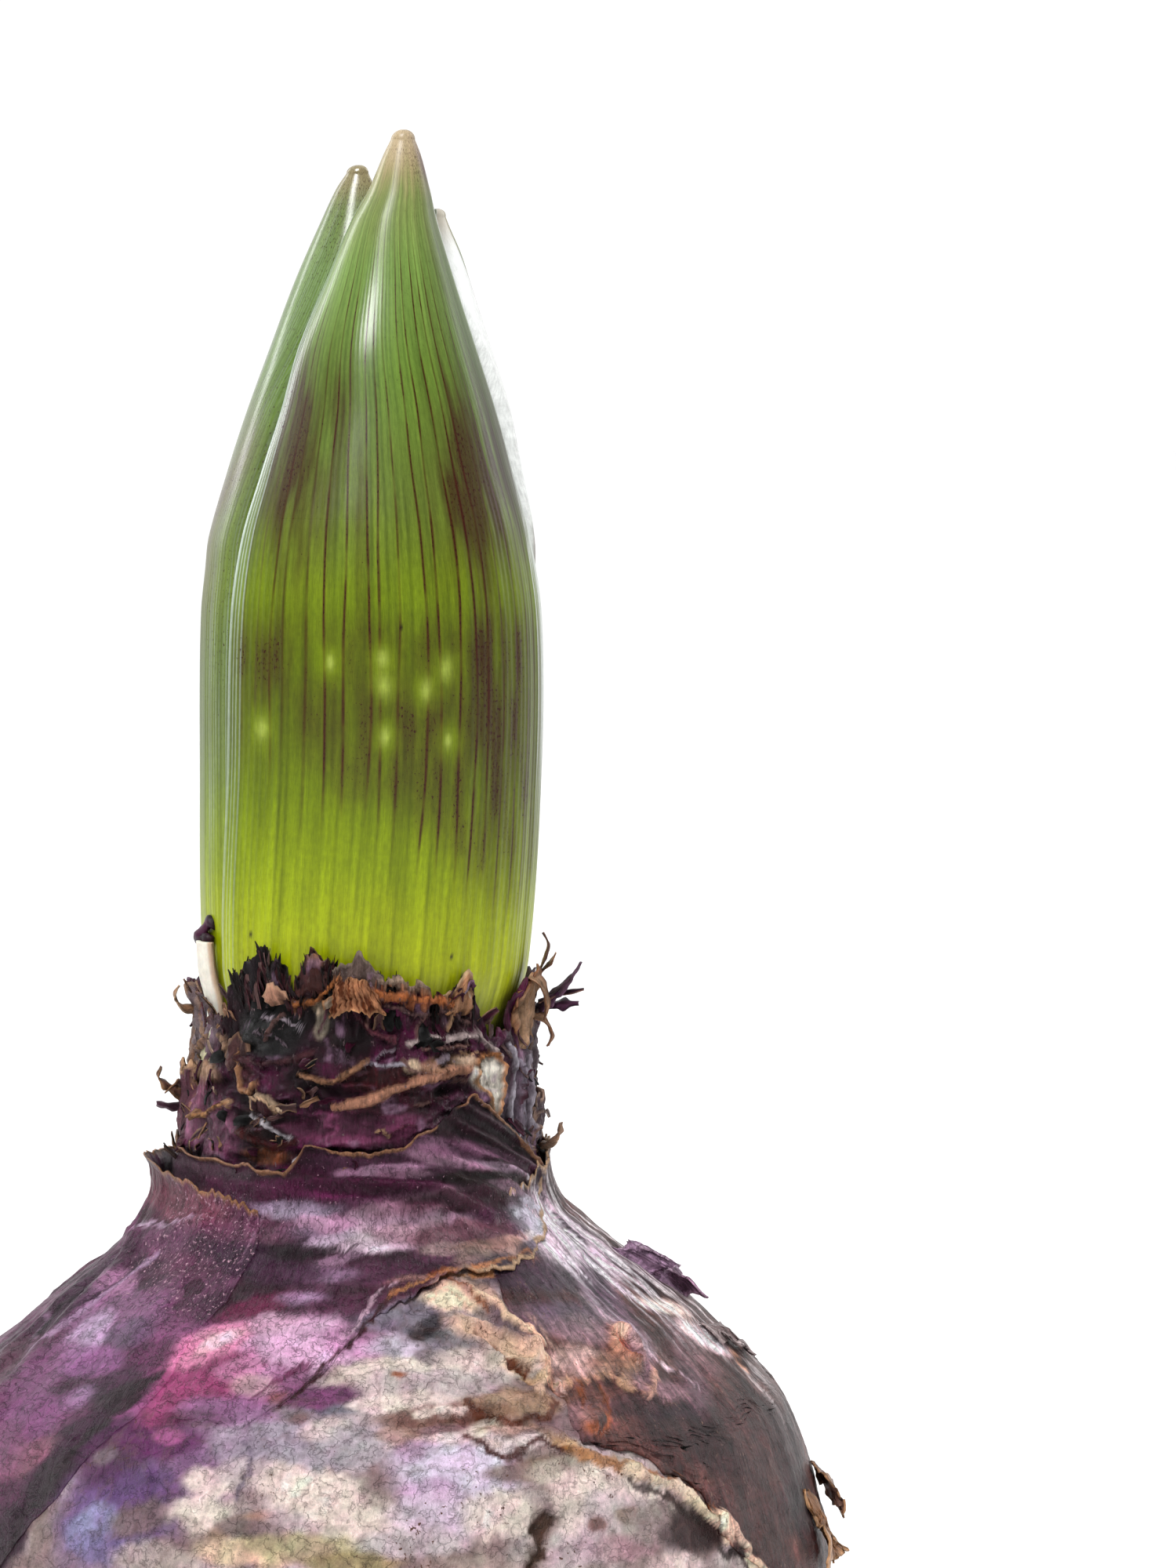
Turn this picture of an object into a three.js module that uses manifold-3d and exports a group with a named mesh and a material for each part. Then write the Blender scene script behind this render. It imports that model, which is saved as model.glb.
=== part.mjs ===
// A sprouting hyacinth bulb, standing on its basal plate with the leaves still closed in a spear.
// Millimetres, +Z up. The origin is the centre of the flat spot that the bulb stands on.
// Directions round the bulb are degrees: 0 faces -Y, the side of the broadest leaf, and 90 faces +X.
import * as THREE from "three";
import { mergeVertices } from "three/addons/utils/BufferGeometryUtils.js";
import Module from "manifold-3d";

const wasm = await Module();
wasm.setup();

// Clearance between two pieces that touch on the real bulb, and the thickness of a dry tunic.
const GAP = 0.3;
const SHEET = 0.6;
const LAYER = GAP + SHEET;

// The bulb's body: [height, radius] of its surface under the loose tunics.
const BODY_FOOT_HEIGHT = 2.2;
const SOCKET_FLOOR = 53;
const BODY_PROFILE = [
  [2.2, 8.6],
  [5.5, 14.8],
  [11, 21.4],
  [18, 25.7],
  [27, 27.1],
  [35, 26.0],
  [41, 23.3],
  [45.5, 19.4],
  [49, 15.0],
  [51, 12.7],
  [52.5, 11.2],
  [54, 10.3],
  [56, 10.0],
  [61, 10.5],
];
// The fleshy tube inside the neck: [height, radius] outside, and its wall.
const FLESH_TUBE = [
  [52, 11.2],
  [54.2, 8.6],
  [57, 8.8],
  [60, 9.1],
  [61.3, 9.3],
  [63, 10.1],
  [65, 10.4],
  [68, 10.4],
];
const BODY_COLUMNS = 40;
const FLESH_WALL = 0.6;
const FLESH_TOP = 61.3;
// One tongue of pale flesh stands up beside the leaves, and has dried at its tip.
const FLESH_TONGUE = { angle: -72, halfWidth: 6, fade: 4, rise: 6.0 };
// The neck leans a little to +X on its way up, with the leaves: [height, shift].
const NECK_LEAN = [[56, 0], [66, 0.6]];

// Basal plate and the dried root stubs round it.
const PLATE_TOP = 1.9;
const FLAT_SPOT_RADIUS = 7;
const PLATE_RADIUS = 9;
const ROOT_COUNT = 28;
const ROOT_RADIUS = 0.5;
const ROOT_SIDES = 5;
const ROOT_SEED = 7;

// The leaves stand in the neck. Each leaf's blade follows an oval, given as [height, value] lists:
// the oval's centre, its half width and half depth, the directions of the blade's two margins, and
// its thickness.
const LEAF_FOOT = SOCKET_FLOOR + GAP;
const LEAF_RIB_HEIGHT = 0.06;
const LEAVES = {
  leaf_front: {
    tip: [2.7, -0.9, 114.0],
    centreX: [[53, 0.2], [62, 0.3], [66, 0.35], [78, 0.75], [86, 0.87], [90.6, 0.98], [94.3, 1.24],
      [97.9, 1.52], [101.5, 1.6], [105.2, 1.87], [108.8, 2.14], [110.6, 2.45], [114, 2.7]],
    centreY: [[53, 0], [86, 0], [94.3, -0.3], [101.5, -0.6], [110.6, -0.8], [114, -0.9]],
    halfX: [[53, 6.9], [57, 7.1], [60, 7.7], [62.5, 8.5], [66, 9.5], [78, 9.9], [86, 9.75], [90.6, 8.95],
      [94.3, 7.7], [97.9, 6.45], [101.5, 5.25], [105.2, 3.8], [108.8, 2.46], [110.6, 1.75], [112.5, 1.1],
      [113.4, 0.7]],
    halfY: [[53, 6.2], [57, 6.5], [60, 7.0], [62.5, 7.5], [66, 8.2], [78, 8.7], [86, 8.5], [90.6, 7.9],
      [94.3, 6.9], [97.9, 5.8], [101.5, 4.7], [105.2, 3.4], [108.8, 2.3], [110.6, 1.7], [112.5, 1.05],
      [113.4, 0.65]],
    from: [[53, -60], [66, -58], [78, -55], [90.6, -57], [97.9, -65], [105.2, -76], [110.6, -87],
      [114, -92]],
    to: [[53, 96], [90, 97], [104, 92], [114, 92]],
    thickness: [[53, 1.5], [66, 1.9], [90, 1.8], [104, 1.4], [114, 0.9]],
  },
  leaf_left: {
    tip: [0.05, 1.2, 112.0],
    centreX: [[53, 0.1], [66, 0.1], [86, 0.1], [90.6, 0.0], [97.9, -0.2], [105.2, -0.2], [110.6, 0.0],
      [112, 0.05]],
    centreY: [[53, 0.2], [90, 0.3], [101.5, 0.8], [108, 1.2], [112, 1.2]],
    halfX: [[53, 6.5], [57, 6.9], [60, 7.6], [62.5, 8.3], [66, 9.1], [78, 9.25], [86, 9.15], [88.8, 8.85],
      [90.6, 8.6], [94.3, 7.45], [97.9, 6.2], [101.5, 4.85], [105.2, 3.5], [108.8, 2.05], [110.6, 1.27],
      [111.5, 0.7]],
    halfY: [[53, 5.8], [60, 6.3], [66, 7.0], [78, 7.4], [86, 7.2], [90.6, 6.8], [94.3, 5.8], [97.9, 4.8],
      [101.5, 3.7], [105.2, 2.7], [108.8, 1.6], [110.6, 1.0], [111.5, 0.6]],
    from: [[53, -176], [86, -176], [97.9, -182], [112, -190]],
    to: [[53, -28], [90, -28], [97.9, -12], [104, 20], [112, 60]],
    thickness: [[53, 1.3], [66, 1.7], [90, 1.6], [104, 1.2], [112, 0.7]],
  },
  leaf_back: {
    tip: [4.5, 2.0, 109.5],
    centreX: [[53, 0.2], [66, 0.4], [78, 0.6], [88, 0.7], [94.3, 1.3], [97.9, 2.0], [101.5, 2.7],
      [105.2, 3.5], [107, 4.0], [109.5, 4.5]],
    centreY: [[53, 0.2], [86, 0.3], [97.9, 0.9], [105.2, 1.7], [109.5, 2.0]],
    halfX: [[53, 6.6], [57, 7.0], [60, 7.6], [62.5, 8.3], [66, 9.1], [78, 9.7], [88, 9.6], [90.6, 9.35],
      [94.3, 8.2], [97.9, 6.8], [101.5, 5.0], [105.2, 3.0], [107, 1.9], [108.4, 1.0], [109.0, 0.65]],
    halfY: [[53, 6.2], [60, 6.9], [66, 7.7], [78, 8.3], [88, 8.0], [90.6, 7.6], [94.3, 6.7], [97.9, 5.5],
      [101.5, 4.1], [105.2, 2.5], [107, 1.6], [108.4, 0.9], [109.0, 0.6]],
    from: [[53, 74], [86, 74], [109.5, 70]],
    to: [[53, 206], [86, 206], [97.9, 214], [109.5, 240]],
    thickness: [[53, 1.5], [66, 1.8], [90, 1.7], [104, 1.2], [109.5, 0.8]],
  },
};
const LEAF_MARGIN = 0.6;
const LEAF_COLUMNS = 14;
const LEAF_ROWS = 15;

// Dry tunics: the edges that can be seen, as [height, angle] down a side and [angle, height] along a rim.
const TUNIC_FOOT = 5.2;
const RIGHT_FRONT_EDGE = [
  [6, 40], [10, 45], [16, 48], [22, 55], [28, 62], [32.8, 59], [35.1, 51], [37.8, 49], [39.7, 43],
  [40.8, 33], [43, 34], [44.8, 32], [48.5, 33], [50.3, 37], [53, 45],
];
const RIGHT_BACK_ANGLE = 195;
const RIGHT_RIM = [[33, 53], [45, 53], [72, 54.2], [90, 55.4], [130, 55.6], [160, 54.6], [195, 54.8]];
const LEFT_FRONT_EDGE = [
  [5, -38], [8, -42], [13, -48], [19, -54], [25, -56], [30, -52], [34.1, -46], [36.7, -41], [39.2, -37],
  [42.2, -31.5], [46.5, -29.5], [48.5, -26.5], [50.5, -24.7], [52.5, -29],
];
const LEFT_BACK_ANGLE = -190;
const LEFT_RIM = [
  [-190, 51.5], [-165, 53.2], [-140, 52.4], [-110, 54.2], [-80, 53.8], [-53, 53.1], [-24, 52.4],
];
const COLLAR_ANGLES = [-150, 72];
const COLLAR_RIM = [
  [-150, 56.2], [-100, 56.0], [-69, 55.3], [-40, 55.0], [-21, 54.7], [-15, 56.5], [5, 56.0], [17.6, 56.6],
  [29, 57.7], [38, 59.2], [56, 56.8], [72, 54.0],
];
const COLLAR_HEM = [
  [-150, 47.5], [-60, 46], [-32, 42.5], [-15, 42], [-7, 44.2], [5, 48.1], [12, 49], [22, 49.9], [37, 50.3],
  [53, 51], [66, 52.2], [72, 53.4],
];
// How far the left tunic's rim stands off the neck, at the side.
const LEFT_FLARE = { angle: -84, spread: 42, lift: 0.7, from: 48.5, to: 54 };
// Torn scraps of the right tunic that stand up: their angles, top and bottom, and how far they lift.
const SCRAPS = [
  { angles: [85, 94], top: 50.4, bottom: 47.8, lift: 2.4 },
  { angles: [83, 90], top: 35.6, bottom: 31.2, lift: 1.5 },
];
// The folds across the collar: their spacing up the bulb and their height.
const FOLD_SPACING = 2.1;
const FOLD_HEIGHT = 0.45;
const FOLD_MIDDLE = { angle: 25, height: 52.5 };

// Dry scale tips round the neck: a torn ring, and the shorter strips that are pressed on it from outside.
const TIP_FOOT = 54.6;
const TIP_INNER = [[54.6, 9.0], [57, 9.15], [60, 9.45], [64, 9.85], [68, 10.1]];
const TIP_WALL = 0.6;
const RING_COLUMNS = 48;
const UPPER_RIM = [
  [-180, 64.2], [-150, 65.4], [-120, 63.4], [-98, 63.8], [-90, 62.0], [-83, 61.2], [-60, 61.2],
  [-53, 64.0], [-44, 66.8], [-32, 66.0], [-26, 64.4], [-17, 67.0], [-5, 66.4], [5, 66.0], [18, 65.0],
  [30, 64.6], [42, 64.9], [52, 63.0], [60, 61.8], [66, 62.6], [78, 65.2], [92, 64.4], [110, 62.8],
  [140, 65.6], [160, 63.6], [180, 64.2],
];
// Each strip: its foot, its [angle, height] rim, how proud of the ring it is, and how much more at its rim.
const STRIPS = [
  {
    foot: 57.3,
    rim: [[-96, 58.6], [-75, 58.9], [-55, 58.5], [-30, 58.8], [-5, 59.0], [22, 60.0]],
    proud: 0.3,
    lip: 0.2,
  },
  {
    foot: 59.7,
    rim: [[16, 61.8], [30, 62.0], [48, 61.7], [62, 61.4], [80, 61.9], [96, 61.2]],
    proud: 0.5,
    lip: 0.4,
  },
  {
    foot: 57.0,
    rim: [[100, 60.2], [130, 61.4], [165, 59.8], [190, 60.9], [220, 59.4], [250, 60.4]],
    proud: 0.4,
    lip: 0.3,
  },
];
const STRIP_DEPTH = 0.3;
// Thicker lumps on the ring: a round knob, a folded flap, and curled tips.
const LUMPS = [
  { angle: -34, halfAngle: 16, foot: 59.8, top: 63.9, proud: 0.8 },
  { angle: 0, halfAngle: 11, foot: 63.0, top: 65.9, proud: 0.4 },
  { angle: 78, halfAngle: 8, foot: 62.6, top: 66.2, proud: 0.5 },
  { angle: -142, halfAngle: 13, foot: 60.6, top: 64.6, proud: 0.5 },
  { angle: 146, halfAngle: 12, foot: 62.2, top: 65.6, proud: 0.5 },
];
// Dry shreds that stand out of the ring, each from [angle, height] to [angle, radius, height].
const SHREDS = [
  { root: [86, 62.9], end: [80, 12.3, 64.9], width: 0.9 },
  { root: [96, 63.2], end: [88, 12.2, 63.5], width: 0.9 },
  { root: [-88, 62.6], end: [-84, 11.8, 63.6], width: 0.8 },
  { root: [-90, 59.6], end: [-83, 11.7, 59.4], width: 0.9 },
  { root: [-76, 57.6], end: [-72, 11.0, 57.5], width: 0.8 },
  { root: [152, 60.9], end: [155, 12.2, 62.2], width: 0.8 },
  { root: [-160, 62.2], end: [-164, 12.0, 63.8], width: 0.8 },
];

const radians = THREE.MathUtils.degToRad;
const { lerp, smoothstep } = THREE.MathUtils;
const bell = (x) => Math.exp(-x * x);

// A smooth curve through [x, y] points, flat beyond its ends.
function curve(points, x) {
  const last = points.length - 1;
  if (x <= points[0][0]) return points[0][1];
  if (x >= points[last][0]) return points[last][1];
  let i = 0;
  while (x > points[i + 1][0]) i += 1;
  const slope = (j) => {
    const a = points[Math.max(j - 1, 0)];
    const b = points[Math.min(j + 1, last)];
    return (b[1] - a[1]) / (b[0] - a[0]);
  };
  const span = points[i + 1][0] - points[i][0];
  const t = (x - points[i][0]) / span;
  const t2 = t * t;
  const t3 = t2 * t;
  return (
    (2 * t3 - 3 * t2 + 1) * points[i][1] +
    (t3 - 2 * t2 + t) * span * slope(i) +
    (3 * t2 - 2 * t3) * points[i + 1][1] +
    (t3 - t2) * span * slope(i + 1)
  );
}

// Straight lines through [x, y] points, for edges that are torn and not smooth.
function torn(points, x) {
  if (x <= points[0][0]) return points[0][1];
  for (let i = 1; i < points.length; i += 1) {
    if (x <= points[i][0]) {
      const t = (x - points[i - 1][0]) / (points[i][0] - points[i - 1][0]);
      return lerp(points[i - 1][1], points[i][1], t);
    }
  }
  return points[points.length - 1][1];
}

// Small teeth along a torn edge, from -1 to 1.
function teeth(angle, seed) {
  const a = radians(angle);
  const coarse = Math.sin(31 * a + seed);
  const middling = Math.sin(57 * a + 2.3 * seed);
  const fine = Math.sin(83 * a + 5.1 * seed);
  return 0.5 * coarse + 0.3 * middling + 0.2 * fine;
}

function seededRandom(seed) {
  let state = seed;
  return () => {
    state = (state * 16807) % 2147483647;
    return state / 2147483647;
  };
}

// The bulb isn't quite round: its shoulder is lower at -X, and its sides swell a little.
function swell(angle, z) {
  const a = radians(angle);
  return (
    0.8 * Math.sin(a) * bell((z - 46.5) / 6) +
    0.35 * Math.sin(2 * a + 1) * bell((z - 25) / 14) +
    0.25 * Math.sin(3 * a + 2) * bell((z - 36) / 9)
  );
}

// The point at a height of the bulb's surface, lifted off it along its normal.
function onBulb(angle, z, lift) {
  const r = curve(BODY_PROFILE, z) + swell(angle, z);
  const step = 0.05;
  const slope = (curve(BODY_PROFILE, z + step) - curve(BODY_PROFILE, z - step)) / (2 * step);
  const n = Math.hypot(1, slope);
  return around(angle, r + lift / n, z - (lift * slope) / n);
}

function around(angle, radius, z) {
  const a = radians(angle);
  return new THREE.Vector3(radius * Math.sin(a), -radius * Math.cos(a), z);
}

function onNeck(angle, radius, z) {
  const point = around(angle, radius, z);
  point.x += torn(NECK_LEAN, z);
  return point;
}

// A closed geometry from points and quads, with collapsed faces dropped.
function closedGeometry(points, quads) {
  const triangles = [];
  quads.forEach(([a, b, c, d]) => triangles.push(a, b, c, a, c, d));
  const raw = new THREE.BufferGeometry().setFromPoints(points);
  raw.setIndex(triangles);
  const merged = mergeVertices(raw, 2e-3);
  const kept = [];
  const index = merged.index.array;
  for (let i = 0; i < index.length; i += 3) {
    const [a, b, c] = [index[i], index[i + 1], index[i + 2]];
    if (a !== b && b !== c && c !== a) kept.push(a, b, c);
  }
  merged.setIndex(kept);
  return merged;
}

// A sheet with an outer and an inner face, both given as (u, v) from 0 to 1, closed by its four edges.
function sheetGeometry(columns, rows, outer, inner) {
  const points = [];
  const at = (face, i, j) => face * (columns + 1) * (rows + 1) + j * (columns + 1) + i;
  [outer, inner].forEach((face) => {
    for (let j = 0; j <= rows; j += 1) {
      for (let i = 0; i <= columns; i += 1) points.push(face(i / columns, j / rows));
    }
  });
  const quads = [];
  for (let j = 0; j < rows; j += 1) {
    for (let i = 0; i < columns; i += 1) {
      quads.push([at(0, i, j), at(0, i + 1, j), at(0, i + 1, j + 1), at(0, i, j + 1)]);
      quads.push([at(1, i, j), at(1, i, j + 1), at(1, i + 1, j + 1), at(1, i + 1, j)]);
    }
    quads.push([at(0, 0, j), at(0, 0, j + 1), at(1, 0, j + 1), at(1, 0, j)]);
    quads.push([at(0, columns, j), at(1, columns, j), at(1, columns, j + 1), at(0, columns, j + 1)]);
  }
  for (let i = 0; i < columns; i += 1) {
    quads.push([at(0, i, 0), at(1, i, 0), at(1, i + 1, 0), at(0, i + 1, 0)]);
    quads.push([at(0, i, rows), at(0, i + 1, rows), at(1, i + 1, rows), at(1, i, rows)]);
  }
  return closedGeometry(points, quads);
}

// A solid turned about the bulb's axis. Its path (angle, step) starts and ends on the axis, or is closed.
function turnedGeometry(columns, steps, path) {
  const points = [];
  for (let j = 0; j <= steps; j += 1) {
    for (let i = 0; i < columns; i += 1) points.push(path(-180 + (360 * i) / columns, j));
  }
  const quads = [];
  for (let j = 0; j < steps; j += 1) {
    for (let i = 0; i < columns; i += 1) {
      const k = (i + 1) % columns;
      quads.push([j * columns + i, j * columns + k, (j + 1) * columns + k, (j + 1) * columns + i]);
    }
  }
  return closedGeometry(points, quads);
}

function toSolid(geometry) {
  return new wasm.Manifold(
    new wasm.Mesh({
      numProp: 3,
      vertProperties: new Float32Array(geometry.attributes.position.array),
      triVerts: new Uint32Array(geometry.index.array),
    }),
  );
}

function toGeometry(solid) {
  const mesh = solid.getMesh();
  const positions = new Float32Array(mesh.numVert * 3);
  for (let i = 0; i < mesh.numVert; i += 1) {
    positions.set(mesh.vertProperties.subarray(i * mesh.numProp, i * mesh.numProp + 3), i * 3);
  }
  const geometry = new THREE.BufferGeometry();
  geometry.setAttribute("position", new THREE.BufferAttribute(positions, 3));
  geometry.setIndex(new THREE.BufferAttribute(new Uint32Array(mesh.triVerts), 1));
  return geometry;
}

// The largest body of a solid, without the loose scraps that a cut can leave.
function mainBody(solid) {
  return solid.decompose().sort((a, b) => b.volume() - a.volume())[0];
}

function fuse(geometries) {
  const solids = geometries.map(toSolid);
  return mainBody(solids.slice(1).reduce((joined, next) => joined.add(next), solids[0]));
}

// A cylinder that stands along Y, moved to run from one point to another.
function between(cylinder, from, to) {
  const way = to.clone().sub(from).normalize();
  const middle = from.clone().add(to).multiplyScalar(0.5);
  cylinder.applyQuaternion(new THREE.Quaternion().setFromUnitVectors(new THREE.Vector3(0, 1, 0), way));
  cylinder.translate(middle.x, middle.y, middle.z);
  cylinder.deleteAttribute("normal");
  cylinder.deleteAttribute("uv");
  return mergeVertices(cylinder, 1e-3);
}

// The basal plate: a corky disc on a small flat spot, ringed by dried root stubs that end above ground.
function basalPlate() {
  const profile = [
    new THREE.Vector2(0, 0),
    new THREE.Vector2(FLAT_SPOT_RADIUS, 0),
    new THREE.Vector2(PLATE_RADIUS - 0.5, 0.6),
    new THREE.Vector2(PLATE_RADIUS, 1.3),
    new THREE.Vector2(PLATE_RADIUS - 0.4, PLATE_TOP),
    new THREE.Vector2(0, PLATE_TOP),
  ];
  const turned = new THREE.LatheGeometry(profile, 30).rotateX(Math.PI / 2);
  turned.deleteAttribute("normal");
  turned.deleteAttribute("uv");
  const pieces = [mergeVertices(turned, 1e-3)];
  const random = seededRandom(ROOT_SEED);
  for (let i = 0; i < ROOT_COUNT; i += 1) {
    const angle = (360 * (i + 0.6 * random())) / ROOT_COUNT;
    const length = 2.0 + 1.6 * random();
    const foot = around(angle, PLATE_RADIUS - 1.3, 1.15);
    const end = around(angle + 14 * (random() - 0.5), PLATE_RADIUS - 1.3 + length, 0.75 + 0.55 * random());
    const reach = foot.distanceTo(end);
    const root = new THREE.CylinderGeometry(ROOT_RADIUS * 0.8, ROOT_RADIUS, reach, ROOT_SIDES);
    pieces.push(between(root, foot, end));
  }
  return toGeometry(fuse(pieces));
}

// The body: the swollen scales with their clinging skin, and the fleshy tube that holds the leaves.
function bulbBody() {
  const heights = [2.2, 4, 6.5, 10, 14, 18.5, 23, 28, 32.5, 36.5, 40, 43, 45.5, 48, 50, 52];
  const flesh = [54.2, 57, 60];
  const outer = heights.length;
  const top = outer + flesh.length;
  return turnedGeometry(BODY_COLUMNS, top + 4, (angle, j) => {
    if (j === 0) return around(angle, 0, BODY_FOOT_HEIGHT);
    if (j <= outer) return onBulb(angle, heights[j - 1], 0);
    if (j <= top) return onNeck(angle, curve(FLESH_TUBE, flesh[j - outer - 1]), flesh[j - outer - 1]);
    const away = Math.abs(angle - FLESH_TONGUE.angle);
    const { halfWidth, fade } = FLESH_TONGUE;
    const rise = FLESH_TONGUE.rise * (1 - smoothstep(away, halfWidth, halfWidth + fade));
    const rim = FLESH_TOP + rise + 0.4 * teeth(angle, 3);
    if (j === top + 1) return onNeck(angle, curve(FLESH_TUBE, rim), rim);
    if (j === top + 2) return onNeck(angle, curve(FLESH_TUBE, rim) - FLESH_WALL, rim);
    if (j === top + 3) return around(angle, curve(FLESH_TUBE, 54.2) - FLESH_WALL, SOCKET_FLOOR);
    return around(angle, 0, SOCKET_FLOOR);
  });
}

// How far the folds of the collar stand up, the same for every tunic that lies on them.
function folds(angle, z) {
  const phase = (2 * Math.PI * (z + 0.02 * angle)) / FOLD_SPACING + Math.sin(radians(3 * angle));
  const fade = bell((angle - FOLD_MIDDLE.angle) / 50) * bell((z - FOLD_MIDDLE.height) / 4);
  return FOLD_HEIGHT * fade * (0.5 + 0.5 * Math.sin(phase));
}

function rightLift() {
  return GAP;
}

function collarLift(angle, z) {
  return GAP + LAYER * smoothstep(angle, 20, 29) * (1 - smoothstep(z, 55.5, 57.5)) + folds(angle, z);
}

function leftLift(angle, z) {
  const overCollar = smoothstep(z, 39, 42);
  const overRight = 1 - smoothstep(angle, -160, -150);
  const flare =
    LEFT_FLARE.lift *
    bell((angle - LEFT_FLARE.angle) / LEFT_FLARE.spread) *
    smoothstep(z, LEFT_FLARE.from, LEFT_FLARE.to);
  return GAP + LAYER * Math.max(overCollar, overRight) + folds(angle, z) + flare;
}

// A dry tunic between two side edges, given by height, and a foot and a rim, given by angle.
function tunicGeometry({ columns, rows, side, otherSide, foot, rim, lift }) {
  const face = (extra) => (u, v) => {
    // Rows lie closer together towards the rim, where the shoulder bends most.
    const height = 1 - (1 - v) ** 1.3;
    const middle = lerp(foot(0), rim(0), height);
    const angle = lerp(side(middle), otherSide(middle), u);
    const z = lerp(foot(angle), rim(angle), height);
    return onBulb(angle, z, lift(angle, z) + extra);
  };
  return sheetGeometry(columns, rows, face(SHEET), face(0));
}

const tunicFoot = (seed) => (angle) => TUNIC_FOOT + 0.5 * teeth(angle, seed);

function rightTunic() {
  const sheet = tunicGeometry({
    columns: 20,
    rows: 15,
    side: (z) => torn(RIGHT_FRONT_EDGE, z),
    otherSide: () => RIGHT_BACK_ANGLE,
    foot: tunicFoot(1),
    rim: (angle) => torn(RIGHT_RIM, angle) + 0.3 * teeth(angle, 2),
    lift: rightLift,
  });
  const scraps = SCRAPS.map(({ angles, top, bottom, lift }) => {
    const face = (extra) => (u, v) =>
      onBulb(lerp(...angles, u), lerp(top, bottom, v), lerp(GAP + SHEET / 2, lift, v) + extra);
    return sheetGeometry(2, 2, face(SHEET), face(0));
  });
  return toGeometry(fuse([sheet, ...scraps]));
}

function leftTunic() {
  return tunicGeometry({
    columns: 20,
    rows: 15,
    side: () => LEFT_BACK_ANGLE,
    otherSide: (z) => torn(LEFT_FRONT_EDGE, z),
    foot: tunicFoot(4),
    rim: (angle) => torn(LEFT_RIM, angle) + 0.2 * teeth(angle, 5),
    lift: leftLift,
  });
}

function collarTunic() {
  return tunicGeometry({
    columns: 37,
    rows: 9,
    side: () => COLLAR_ANGLES[0],
    otherSide: () => COLLAR_ANGLES[1],
    foot: (angle) => torn(COLLAR_HEM, angle) + 0.15 * teeth(angle, 6),
    rim: (angle) => torn(COLLAR_RIM, angle) + 0.15 * teeth(angle, 7),
    lift: collarLift,
  });
}

// The torn ring that the dry scale tips make round the neck.
function tipRing() {
  const rim = (angle) => torn(UPPER_RIM, angle) + 0.4 * teeth(angle, 8);
  const middle = 60;
  const outer = (z) => curve(TIP_INNER, z) + TIP_WALL;
  return turnedGeometry(RING_COLUMNS, 6, (angle, j) => {
    const top = rim(angle);
    if (j === 0 || j === 6) return onNeck(angle, curve(TIP_INNER, TIP_FOOT), TIP_FOOT);
    if (j === 1) return onNeck(angle, outer(TIP_FOOT), TIP_FOOT);
    if (j === 2) return onNeck(angle, outer(middle), middle);
    if (j === 3) return onNeck(angle, outer(top), top);
    if (j === 4) return onNeck(angle, curve(TIP_INNER, top), top);
    return onNeck(angle, curve(TIP_INNER, middle), middle);
  });
}

// A strip or lump on the ring's outside, sunk half way into it.
function onRingGeometry({ columns, rows, angles, foot, rim, outer }) {
  const face = (lift) => (u, v) => {
    const angle = lerp(angles[0], angles[1], u);
    const z = lerp(foot(angle), rim(angle), v);
    return onNeck(angle, curve(TIP_INNER, z) + lift(angle, u, v), z);
  };
  return sheetGeometry(columns, rows, face(outer), face(() => STRIP_DEPTH));
}

function stripGeometry({ foot, rim, proud, lip }) {
  return onRingGeometry({
    columns: Math.round((rim[rim.length - 1][0] - rim[0][0]) / 9),
    rows: 3,
    angles: [rim[0][0], rim[rim.length - 1][0]],
    foot: () => foot,
    rim: (angle) => torn(rim, angle),
    outer: (angle, u, v) => TIP_WALL + proud + lip * v * v,
  });
}

function lumpGeometry({ angle: middle, halfAngle, foot, top, proud }) {
  return onRingGeometry({
    columns: 4,
    rows: 3,
    angles: [middle - halfAngle, middle + halfAngle],
    foot: (angle) => lerp(foot, top, 0.35 * ((angle - middle) / halfAngle) ** 2),
    rim: (angle) => lerp(top, foot, 0.35 * ((angle - middle) / halfAngle) ** 2),
    outer: (angle, u, v) => TIP_WALL + 0.1 + proud * Math.sin(Math.PI * u) * Math.sin(Math.PI * v) ** 0.5,
  });
}

// A narrow dry shred, square in section and thinner at its end.
function shredGeometry({ root, end, width }) {
  const from = onNeck(root[0], curve(TIP_INNER, root[1]) + STRIP_DEPTH, root[1]);
  const to = onNeck(...end);
  return between(new THREE.CylinderGeometry(width * 0.35, width * 0.6, from.distanceTo(to), 4), from, to);
}

// The dry tips of the old scales round the neck, grown together at their foot.
function neckScales() {
  const strips = STRIPS.map(stripGeometry);
  const lumps = LUMPS.map(lumpGeometry);
  const shreds = SHREDS.map(shredGeometry);
  return toGeometry(fuse([tipRing(), ...strips, ...lumps, ...shreds]));
}

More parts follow.
